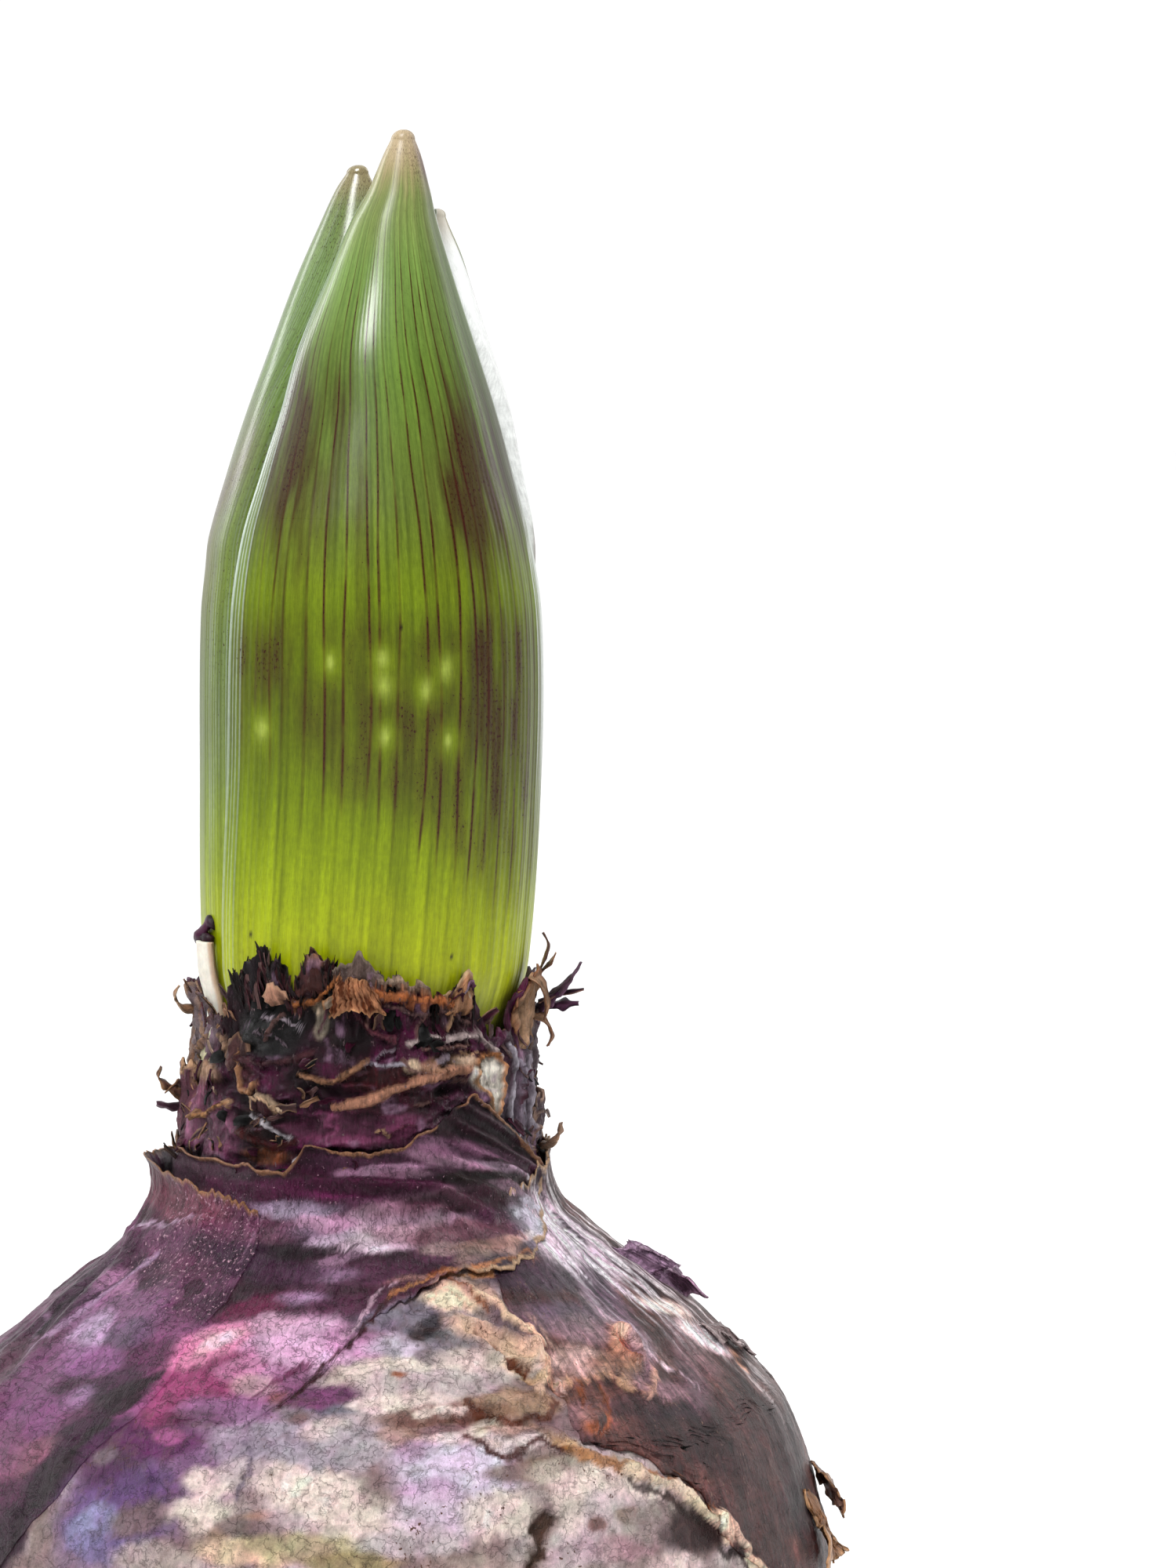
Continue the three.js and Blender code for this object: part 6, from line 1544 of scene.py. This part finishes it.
def front_stripes(colour, u, z, x, rough):
    """The front leaf's dark band and patches, its veins and its flecks."""
    low = np.interp(x, *BAND_FOOT) + 1.6 * rough
    band = smoothstep(z, low - 1.5, low + 2.5) * (1 - 0.9 * smoothstep(z, 84.5, 87.5))
    blot = sum(s * patch(x, z, x0, z0, wide, high) for x0, z0, wide, high, s in FLECK_PATCHES)
    soft = 0.7 + 0.6 * streaks(u, z, 40, 0.25, 1.0, 243)
    flecks = np.clip((0.45 * band + 0.5 * blot) * soft, 0, 0.6)
    colour = mix(colour, np.clip((0.46 * band + 0.95 * blot) * soft, 0, 0.85), BLOTCH)
    line = veins(u, z)
    colour = mix(colour, np.clip(0.9 * line, 0, 0.9), STRIPE)
    flecks = np.maximum(flecks, 0.6 * line)
    flecks = np.maximum(flecks, 0.3 * smoothstep(z, 93, 101) * smoothstep(x, -2, 2.5))
    flecks = np.maximum(flecks, 0.5 * smoothstep(z, 109.5, 113) + 0.35 * patch(x, z, 3.6, 110, 0.8, 3))
    seam = patch(x, z, lerp(3.3, 4.4, (113.4 - z) / 3), 112, 0.16, 1.8)
    return mix(colour, seam, tone(104, 60, 70)), flecks


def front_dots(colour, flecks, z, x, rough):
    """Pale spots with a paler core, and dark specks."""
    for k, (x0, z0) in enumerate(PALE_SPOTS):
        size = 0.75 + 0.18 * (k % 4)
        across = x + 0.2 * rough
        halo = np.clip(patch(across, z, x0, z0, 0.7, 1.0), 0, 1)
        colour = mix(colour, 0.55 * halo, tone(136, 158, 40))
        core = np.clip(patch(across, z, x0, z0, 0.26 * size, 0.48 * size), 0, 1)
        colour = mix(colour, (0.9 - 0.1 * (k % 4)) * core, tone(176, 190, 92))
        flecks = flecks * (1 - np.clip(1.2 * halo, 0, 1))
    for x0, z0 in DARK_SPECKS:
        speck = smoothstep(patch(x, z, x0, z0, 0.14, 0.16), 0.3, 0.6)
        colour = mix(colour, 0.9 * speck, tone(50, 40, 30))
    return colour, flecks


def front_margins(colour, z, left, right):
    """The front leaf's margins with painted reflections: white lines and bands of light along both edges and
    a paler green beside the left one, and painted shade near the right one.
    """
    reflection_share = smoothstep(z, 70, 84) * (0.3 + 0.7 * smoothstep(z, 84, 90))
    # Painted reflection: white lines and a white band along the left margin, and a paler green beside it.
    lines = painted_light_lines(left, (0.5, 0.8, 1.15), 0.05)
    colour = mix(colour, np.clip(0.75 * (0.35 + 0.65 * reflection_share) * lines, 0, 0.9), SHINE_WHITE)
    colour = mix(colour, 0.85 * smoothstep(left, 0.36, 0.18) * (0.3 + 0.7 * reflection_share), SHINE_WHITE)
    colour = mix(colour, 0.2 * reflection_share * bell(left / 1.4), tone(120, 146, 104))
    # Painted shade: darker inside the right margin high up.
    colour = colour * (1 - 0.45 * smoothstep(z, 88, 94) * bell((right - 3.5) / 3.0))[..., None]
    # Painted reflection: white lines and a white band along the right margin.
    wide = lerp(2.4, 1.0, smoothstep(z, 88, 97))
    shine = painted_light_lines(right / wide, (0.96, 1.12, 1.29, 1.5), 0.045) + smoothstep(right / wide, 1.0, 0.8)
    return mix(colour, np.clip(0.8 * smoothstep(z, 72, 82) * shine, 0, 0.9), tone(232, 238, 234))


def left_margin(colour, flecks, u, z, x):
    """The brown outer margin of the left leaf, seen beside the front leaf."""
    middle = -8.9 + 2.7 * smoothstep(z, 90, 97)
    outer = bell((x - middle) / 0.8) * bell((z - 92) / 6) * smoothstep(u, 0.5, 0.62)
    return mix(colour, 0.6 * outer, tone(110, 80, 76)), np.maximum(flecks, 0.6 * outer)


def back_margin(colour, flecks, z, left):
    """The back leaf's broad margin, painted white as a painted reflection, with a thin dark line along it."""
    wide = lerp(4.4, 6.4, smoothstep(z, 90, 98))
    painted_sheen = smoothstep(left, wide + 0.5, wide - 0.5) * smoothstep(z, 82, 88)
    colour = mix(colour, painted_sheen, tone(244, 246, 244))
    line = bell((left - wide) / 0.12) * smoothstep(z, 86, 92)
    return mix(colour, line, tone(120, 84, 96)), flecks * (1 - painted_sheen)


def leaf_paint(name, u, z, points):
    """The colour of a leaf, and its share of dark flecks."""
    x = points[..., 0]
    rough = streaks(u, z, 26, 0.5, 1.2, 240)
    colour = greens(z + 1.0 * rough)
    streak = streaks(u, z, 60, 0.12, 1.0, 242, 3)
    colour = colour * (1 + 0.32 * streak - 0.42 * fine_lines(u, z, 241))[..., None]
    left, right = u * LEAF_WIDTH, (1 - u) * LEAF_WIDTH
    tip = LEAVES[name]["tip"][2]
    if name == "leaf_front":
        colour, flecks = front_stripes(colour, u, z, x, rough)
        colour, flecks = front_dots(colour, flecks, z, x, rough)
        colour = front_margins(colour, z, left, right)
    else:
        # Painted highlights: broken white lines along the left and back leaves.
        broken = 0.5 + 0.5 * line_noise(z + 40 * np.floor(left), 5, 247)
        lines = painted_light_lines(left % 1.1, (0.2, 0.5, 0.9), 0.06) * broken
        colour = mix(colour, np.clip(0.55 * smoothstep(z, 66, 80) * lines, 0, 0.8), SHINE_WHITE)
        flecks = 0.15 * smoothstep(z, tip - 8, tip - 1) + 0.42 * smoothstep(z, 72, 84)
        colour = mix(colour, 0.3 * smoothstep(z, 72, 86), tone(80, 100, 60))
        if name == "leaf_left":
            colour, flecks = left_margin(colour, flecks, u, z, x)
        else:
            colour, flecks = back_margin(colour, flecks, z, left)
    olive = smoothstep(z, tip - 3.0, tip - 0.4)
    crown = tone(204, 184, 150) if name == "leaf_front" else tone(164, 146, 110)
    return mix(colour, 0.6 * olive, crown), np.clip(flecks, 0, 0.95)


def leaf_inset(leaf, u, z):
    """How deep the leaf's inner face lies under its outer face."""
    full = np.minimum(curve(leaf["thickness"], z), 0.62 * curve(leaf["halfX"], z))
    return lerp(np.minimum(LEAF_MARGIN, full), full, np.sin(np.pi * np.clip(u, 0, 1)) ** 0.6)


def tucked(points, z, leaf):
    """Moves the parts of a leaf that another leaf clasps inside that leaf."""
    x0, y0 = curve(leaf["centreX"], z), curve(leaf["centreY"], z)
    half_x, half_y = curve(leaf["halfX"], z), curve(leaf["halfY"], z)
    dx, dy = points[..., 0] - x0, points[..., 1] - y0
    start, end = curve(leaf["from"], z), curve(leaf["to"], z)
    angle = np.degrees(np.arctan2(dx / half_x, -dy / half_y))
    angle = np.where(angle < start - 40, angle + 360, angle)
    u = (angle - start) / (end - start)
    within = smoothstep(np.minimum(u, 1 - u) * LEAF_WIDTH, -0.5, 0.05)
    limit = 1 - (leaf_inset(leaf, u, z) + CLASP_GAP) / half_x
    reach = np.hypot(dx / half_x, dy / half_y)
    scale = np.where(reach > limit, limit / np.maximum(reach, 1e-6), 1)
    scale = lerp(1, scale, within * (z < leaf["tip"][2] - 1.0))
    moved = points.copy()
    moved[..., 0] = x0 + dx * scale
    moved[..., 1] = y0 + dy * scale
    return moved


def leaf(name, columns, inner_columns, step, clasped_by):
    """A curved leaf with fine ribs, closed at its tip and tucked inside the leaves that clasp it."""
    shape = LEAVES[name]
    tip_z = shape["tip"][2]
    top = min(shape["halfX"][-1][0], tip_z - 0.3)
    upper = [(tip_z - 4, top, 0.5 * step), (top, tip_z - 0.02, TIP_STEP)]
    heights = spaced((LEAF_FOOT, 62, 1.0), (62, tip_z - 4, step), *upper)
    u = np.concatenate([np.linspace(0, 1, columns), np.linspace(1, 0, inner_columns)])
    face = np.concatenate([np.zeros(columns), np.ones(inner_columns)])
    u, z = np.meshgrid(u, heights)
    depth = np.broadcast_to(face, u.shape)
    half_x, half_y = curve(shape["halfX"], z), curve(shape["halfY"], z)
    t = np.clip((z - top) / (tip_z - top), 0, 1)
    close = np.sqrt(1 - t**2)
    half_x, half_y = half_x * close, half_y * close
    ribs = 0.5 - 0.5 * np.cos(2 * np.pi * u * LEAF_WIDTH / RIB_SPACING)
    wave = line_noise(u * LEAF_WIDTH, 2.2, 250) * 0.06 + 0.05 * line_noise(u * LEAF_WIDTH, 0.9, 251)
    relief = (0.022 * ribs + wave) * smoothstep(half_x, 1.0, 5.0) * lerp(1, 0.14, smoothstep(z, 84, 96))
    inset = lerp(-relief, leaf_inset(shape, u, z), depth)
    angle = np.radians(lerp(curve(shape["from"], z), curve(shape["to"], z), u))
    x = curve(shape["centreX"], z) + np.maximum(half_x - inset, 0.02) * np.sin(angle)
    y = curve(shape["centreY"], z) - np.maximum(half_y - inset, 0.02) * np.cos(angle)
    points = np.stack([x, y, z], axis=-1)
    for other in clasped_by:
        points = tucked(points, z, LEAVES[other])
    colour, flecks = leaf_paint(name, u, z, points)
    # Painted light: high up, the back leaf's inner face, which lies in shade, is painted near white.
    if name == "leaf_back":
        colour = mix(colour, depth, mix(greens(z), smoothstep(z, 88, 96), tone(240, 244, 236)))
    else:
        colour = mix(colour, 0.5 * depth, greens(z))
    places = np.stack([u * LEAF_WIDTH, z, depth], axis=-1)
    gloss = smoothstep(z, 86, 98) * (1 - smoothstep(x, 0.5, 3.5))
    pile = Pile()
    pile.add(points, grid_faces(*z.shape, True), colour, places, gloss, flecks)
    return pile.make(name + "_blade", LEAF_MATERIAL, "leaf", name)


# For each leaf: columns of points outside and inside, step in height, and the leaves that clasp it.
LEAF_GRIDS = {
    "leaf_front": (420, 30, 0.3, []),
    "leaf_left": (200, 30, 0.4, ["leaf_front", "leaf_back"]),
    "leaf_back": (200, 30, 0.4, ["leaf_front"]),
}


def leaves():
    for name, grid in LEAF_GRIDS.items():
        leaf(name, *grid)


# The basal plate and its dried root stubs

ROOT_COUNT = 46
# The plate's outline: radius and height.
PLATE_PROFILE = np.array([
    [0.01, 0.0], [3, 0.0], [6, 0.0], [7, 0.0], [7.8, 0.25], [8.5, 0.6], [9.0, 1.2], [8.9, 1.6], [8.6, 1.9],
    [7, 2.1], [4, 2.15],
])


def basal_plate():
    angle, row = np.meshgrid(np.arange(-180, 180, 3), np.arange(len(PLATE_PROFILE)))
    radius, z = PLATE_PROFILE[row, 0], PLATE_PROFILE[row, 1]
    points = around(angle, radius, z)
    grain = cloud(points, 1.4, 260)
    points = around(angle, radius + 0.25 * grain * smoothstep(radius, 7, 8.4), z)
    base = tone(122, 92, 66)
    colour = base * (1 + 0.5 * grain)[..., None]
    pile = Pile()
    pile.add(points, grid_faces(*row.shape, True), colour, points)
    draw = np.random.default_rng(7)
    for k in range(ROOT_COUNT):
        a = 360 * (k + 0.7 * draw.random()) / ROOT_COUNT
        z = draw.uniform(0.7, 1.5)
        long = draw.uniform(0.8, 2.3)
        bend = draw.uniform(-9, 9)
        end = (a + bend, 8.6 + long, z - draw.uniform(0, 0.3))
        knots = [(a, 7.8, z), (a + 0.4 * bend, 8.4 + 0.5 * long, z - 0.1), end]
        wide, shade = draw.uniform(0.3, 0.5), draw.uniform(0.5, 1.2)
        shred(pile, knots, wide, 0.32, base * shade, 700 + k, tone(150, 122, 92))
    pile.make("basal_plate_cork", CORK_MATERIAL, "cork", "basal_plate")


# Materials: the painted tint with fine mottling, strands and relief on top

def node(tree, kind, **settings):
    made = tree.nodes.new(kind)
    for key, value in settings.items():
        if key in made.inputs:
            made.inputs[key].default_value = value
        else:
            setattr(made, key, value)
    return made


def scaled_noise(tree, vector, stretch, scale, detail, rough=0.6):
    """Noise in a stretched copy of the piece's own millimetre coordinates."""
    mapping = node(tree, "ShaderNodeMapping", Scale=stretch)
    tree.links.new(vector, mapping.inputs["Vector"])
    texture = node(tree, "ShaderNodeTexNoise", Scale=scale, Detail=detail, Roughness=rough)
    tree.links.new(mapping.outputs["Vector"], texture.inputs["Vector"])
    return texture.outputs["Fac"]


def remap(tree, value, low, high, to_low, to_high):
    mapped = node(tree, "ShaderNodeMapRange")
    tree.links.new(value, mapped.inputs["Value"])
    for key, number in zip(("From Min", "From Max", "To Min", "To Max"), (low, high, to_low, to_high)):
        mapped.inputs[key].default_value = number
    return mapped.outputs["Result"]


def maths(tree, operation, a, b):
    made = node(tree, "ShaderNodeMath", operation=operation)
    for socket, number in zip(made.inputs, (a, b)):
        if isinstance(number, float):
            socket.default_value = number
        else:
            tree.links.new(number, socket)
    return made.outputs["Value"]


def times(tree, a, b):
    return maths(tree, "MULTIPLY", a, b)


def plus(tree, a, b):
    return maths(tree, "ADD", a, b)


def painted(tree, key):
    """The values that the mesh carries under a name."""
    return node(tree, "ShaderNodeAttribute", attribute_name=key).outputs


def flecked(tree, colour, place, fleck, scale, stretch):
    """Small flecks of another colour, thick where the mesh's share of flecks is high."""
    grains = scaled_noise(tree, place, stretch, scale, 2)
    share = times(tree, painted(tree, "flecks")["Fac"], 0.45)
    mask = remap(tree, plus(tree, grains, share), 0.80, 0.88, 0, 1)
    blend = node(tree, "ShaderNodeMix", data_type="RGBA")
    tree.links.new(mask, blend.inputs[0])
    tree.links.new(colour, blend.inputs[6])
    blend.inputs[7].default_value = (*fleck, 1)
    return blend.outputs[2]


def creases_of(tree, place, depth, scale):
    """Fine creases, painted as dark lines of shade: the colour is less by the given share on them."""
    folds = node(tree, "ShaderNodeMath", operation="ABSOLUTE")
    tree.links.new(plus(tree, scaled_noise(tree, place, (1, 1, 1), scale, 4), -0.5), folds.inputs[0])
    return remap(tree, folds.outputs["Value"], 0, 0.022, 1 - depth, 1)


def finish_of(name, roughness, mottle, strand, relief, stretch=(3.0, 0.3, 1.0), glossy=0.22, fleck=None,
              fleck_scale=4.0, fleck_stretch=(1, 1, 1), specular=0.35, brightest=0.6, crease=0.0,
              crease_scale=0.9, **more):
    """A material whose mottling and strands vary the tint by the given shares, with relief in millimetres."""
    made = bpy.data.materials.new(name)
    made.use_nodes = True
    tree = made.node_tree
    shader = tree.nodes["Principled BSDF"]
    place = painted(tree, "place")["Vector"]
    gloss = painted(tree, "gloss")["Fac"]
    spots = scaled_noise(tree, place, (1, 1, 1), 2.4, 6, 0.75)
    strands = scaled_noise(tree, place, stretch, 1.6, 5, 0.65)
    creases = creases_of(tree, place, crease, crease_scale)
    mottling = remap(tree, spots, 0.3, 0.7, 1 - mottle, 1 + mottle)
    shade = times(tree, mottling, remap(tree, strands, 0.3, 0.7, 1 - strand, 1 + strand))
    scale = node(tree, "ShaderNodeVectorMath", operation="SCALE")
    tree.links.new(painted(tree, "tint")["Color"], scale.inputs[0])
    tree.links.new(times(tree, shade, creases), scale.inputs["Scale"])
    colour = scale.outputs["Vector"]
    if fleck is not None:
        colour = flecked(tree, colour, place, fleck, fleck_scale, fleck_stretch)
    tree.links.new(colour, shader.inputs["Base Color"])
    tree.links.new(remap(tree, gloss, 0, 1, roughness, glossy), shader.inputs["Roughness"])
    bump = node(tree, "ShaderNodeBump", Strength=1.0, Distance=relief * MM)
    tree.links.new(plus(tree, plus(tree, spots, strands), creases), bump.inputs["Height"])
    tree.links.new(bump.outputs["Normal"], shader.inputs["Normal"])
    tree.links.new(remap(tree, gloss, 0, 1, specular, brightest), shader.inputs["Specular IOR Level"])
    for key, number in more.items():
        shader.inputs[key.replace("_", " ")].default_value = number
    return made


SKIN_MATERIAL = finish_of(
    "mottled_skin", roughness=0.34, mottle=0.36, strand=0.06, relief=0.24, specular=0.34, glossy=0.24,
    crease=0.3, fleck=tone(104, 72, 60),
)
BROWN_MATERIAL = finish_of(
    "brown_paper", roughness=0.34, mottle=0.5, strand=0.6, relief=0.26, specular=0.3, glossy=0.26,
    crease=0.25, fleck=tone(150, 118, 104), fleck_scale=5.0, fleck_stretch=(2.0, 0.5, 1.0),
)
PURPLE_MATERIAL = finish_of(
    "purple_paper", roughness=0.3, mottle=0.4, strand=0.14, relief=0.26, specular=0.42,
    crease=0.35, crease_scale=1.1, fleck=tone(214, 166, 186),
)
# Its pale flecks are painted glints on the neck's wall.
DRY_MATERIAL = finish_of(
    "dry_scales", roughness=0.42, mottle=0.4, strand=0.4, relief=0.3, specular=0.2, brightest=0.42,
    glossy=0.17, fleck=tone(120, 100, 104),
)
FLESH_MATERIAL = finish_of(
    "pale_flesh", roughness=0.45, mottle=0.08, strand=0.08, relief=0.05, Subsurface_Weight=0.15,
    Subsurface_Scale=1.0 * MM,
)
LEAF_MATERIAL = finish_of(
    "leaf", roughness=0.34, mottle=0.12, strand=0.2, relief=0.002, stretch=(9.0, 0.8, 1.0), specular=0.25,
    brightest=1.0, glossy=0.2, fleck=tone(66, 42, 30), fleck_scale=5.6, fleck_stretch=(1.4, 0.8, 1.0),
)
CORK_MATERIAL = finish_of("cork", roughness=0.8, mottle=0.3, strand=0.1, relief=0.3)


# Stage, light and camera

def plain_material(name, colour, roughness):
    made = bpy.data.materials.new(name)
    made.use_nodes = True
    shader = made.node_tree.nodes["Principled BSDF"]
    shader.inputs["Base Color"].default_value = (*colour, 1)
    shader.inputs["Roughness"].default_value = roughness
    return made


FLOOR_SIZE = 8.0
FLOOR_GREY = 0.92


def stage():
    """The pale floor."""
    bpy.ops.mesh.primitive_plane_add(size=FLOOR_SIZE, location=(0, 0, 0))
    floor = bpy.context.object
    floor.name = "floor"
    floor.data.materials.append(plain_material("pale_floor", [FLOOR_GREY] * 3, 0.6))


WORLD_FRONT = 0.14
WORLD_BACK = 1.06


def world():
    """A white studio, brighter behind the bulb than in front of it."""
    made = bpy.data.worlds.new("studio")
    made.use_nodes = True
    tree = made.node_tree
    background = tree.nodes["Background"]
    background.inputs["Color"].default_value = (1, 1, 1, 1)
    direction = node(tree, "ShaderNodeTexCoord").outputs["Generated"]
    split = node(tree, "ShaderNodeSeparateXYZ")
    tree.links.new(direction, split.inputs["Vector"])
    strength = remap(tree, split.outputs["Y"], -0.4, 0.6, WORLD_FRONT, WORLD_BACK)
    tree.links.new(strength, background.inputs["Strength"])
    bpy.context.scene.world = made


# Lights that look at the bulb's neck: direction, elevation, width and height in metres, radiance.
SOFTBOXES = {
    "key": (-22, 45, 0.2, 0.3, 16.0),
    "right": (118, 30, 0.12, 0.7, 10.0),
    "left": (-122, 25, 0.12, 0.7, 5.0),
}
SOFTBOX_DISTANCE = 1.0
SOFTBOX_TARGET = np.array([0, 0, 0.06])
# The sun: direction, elevation, strength and width in degrees.
SUN = (-18, 60, 2.1, 18)


def heading(azimuth, elevation):
    """The way from the bulb to a light."""
    a, e = np.radians(azimuth), np.radians(elevation)
    return np.array([np.sin(a) * np.cos(e), -np.cos(a) * np.cos(e), np.sin(e)])


def lamp(name, kind, place, target):
    """A new light at a place, aimed at a target."""
    light = bpy.data.lights.new(name, kind)
    made = bpy.data.objects.new(name, light)
    bpy.context.collection.objects.link(made)
    made.location = place
    made.rotation_euler = (Vector(target) - Vector(place)).to_track_quat("-Z", "Y").to_euler()
    return light


def lights():
    for name, (azimuth, elevation, width, height, radiance) in SOFTBOXES.items():
        place = SOFTBOX_TARGET + SOFTBOX_DISTANCE * heading(azimuth, elevation)
        light = lamp(name, "AREA", place, SOFTBOX_TARGET)
        light.shape = "RECTANGLE"
        light.size, light.size_y = width, height
        light.energy = np.pi * width * height * radiance
    azimuth, elevation, strength, spread = SUN
    light = lamp("sky", "SUN", heading(azimuth, elevation), (0, 0, 0))
    light.energy = strength
    light.angle = np.radians(spread)


CAMERA_TARGET = np.array([13.3, 0, 76.2])
CAMERA_DISTANCE = 420
CAMERA_TILT = 4.0
CAMERA_LENS = 166.3
CAMERA_SENSOR = 36


def camera():
    data = bpy.data.cameras.new("camera")
    data.lens = CAMERA_LENS
    data.sensor_width = CAMERA_SENSOR
    made = bpy.data.objects.new("camera", data)
    bpy.context.collection.objects.link(made)
    tilt = np.radians(CAMERA_TILT)
    made.location = (CAMERA_TARGET + CAMERA_DISTANCE * np.array([0, -np.cos(tilt), np.sin(tilt)])) * MM
    made.rotation_euler = (np.pi / 2 - tilt, 0, 0)
    bpy.context.scene.camera = made


def main():
    skin()
    tunic_right()
    tunic_collar()
    tunic_left()
    scraps()
    neck()
    tongue()
    leaves()
    basal_plate()
    stage()
    world()
    lights()
    camera()
    bpy.context.scene.view_settings.view_transform = "Standard"


main()
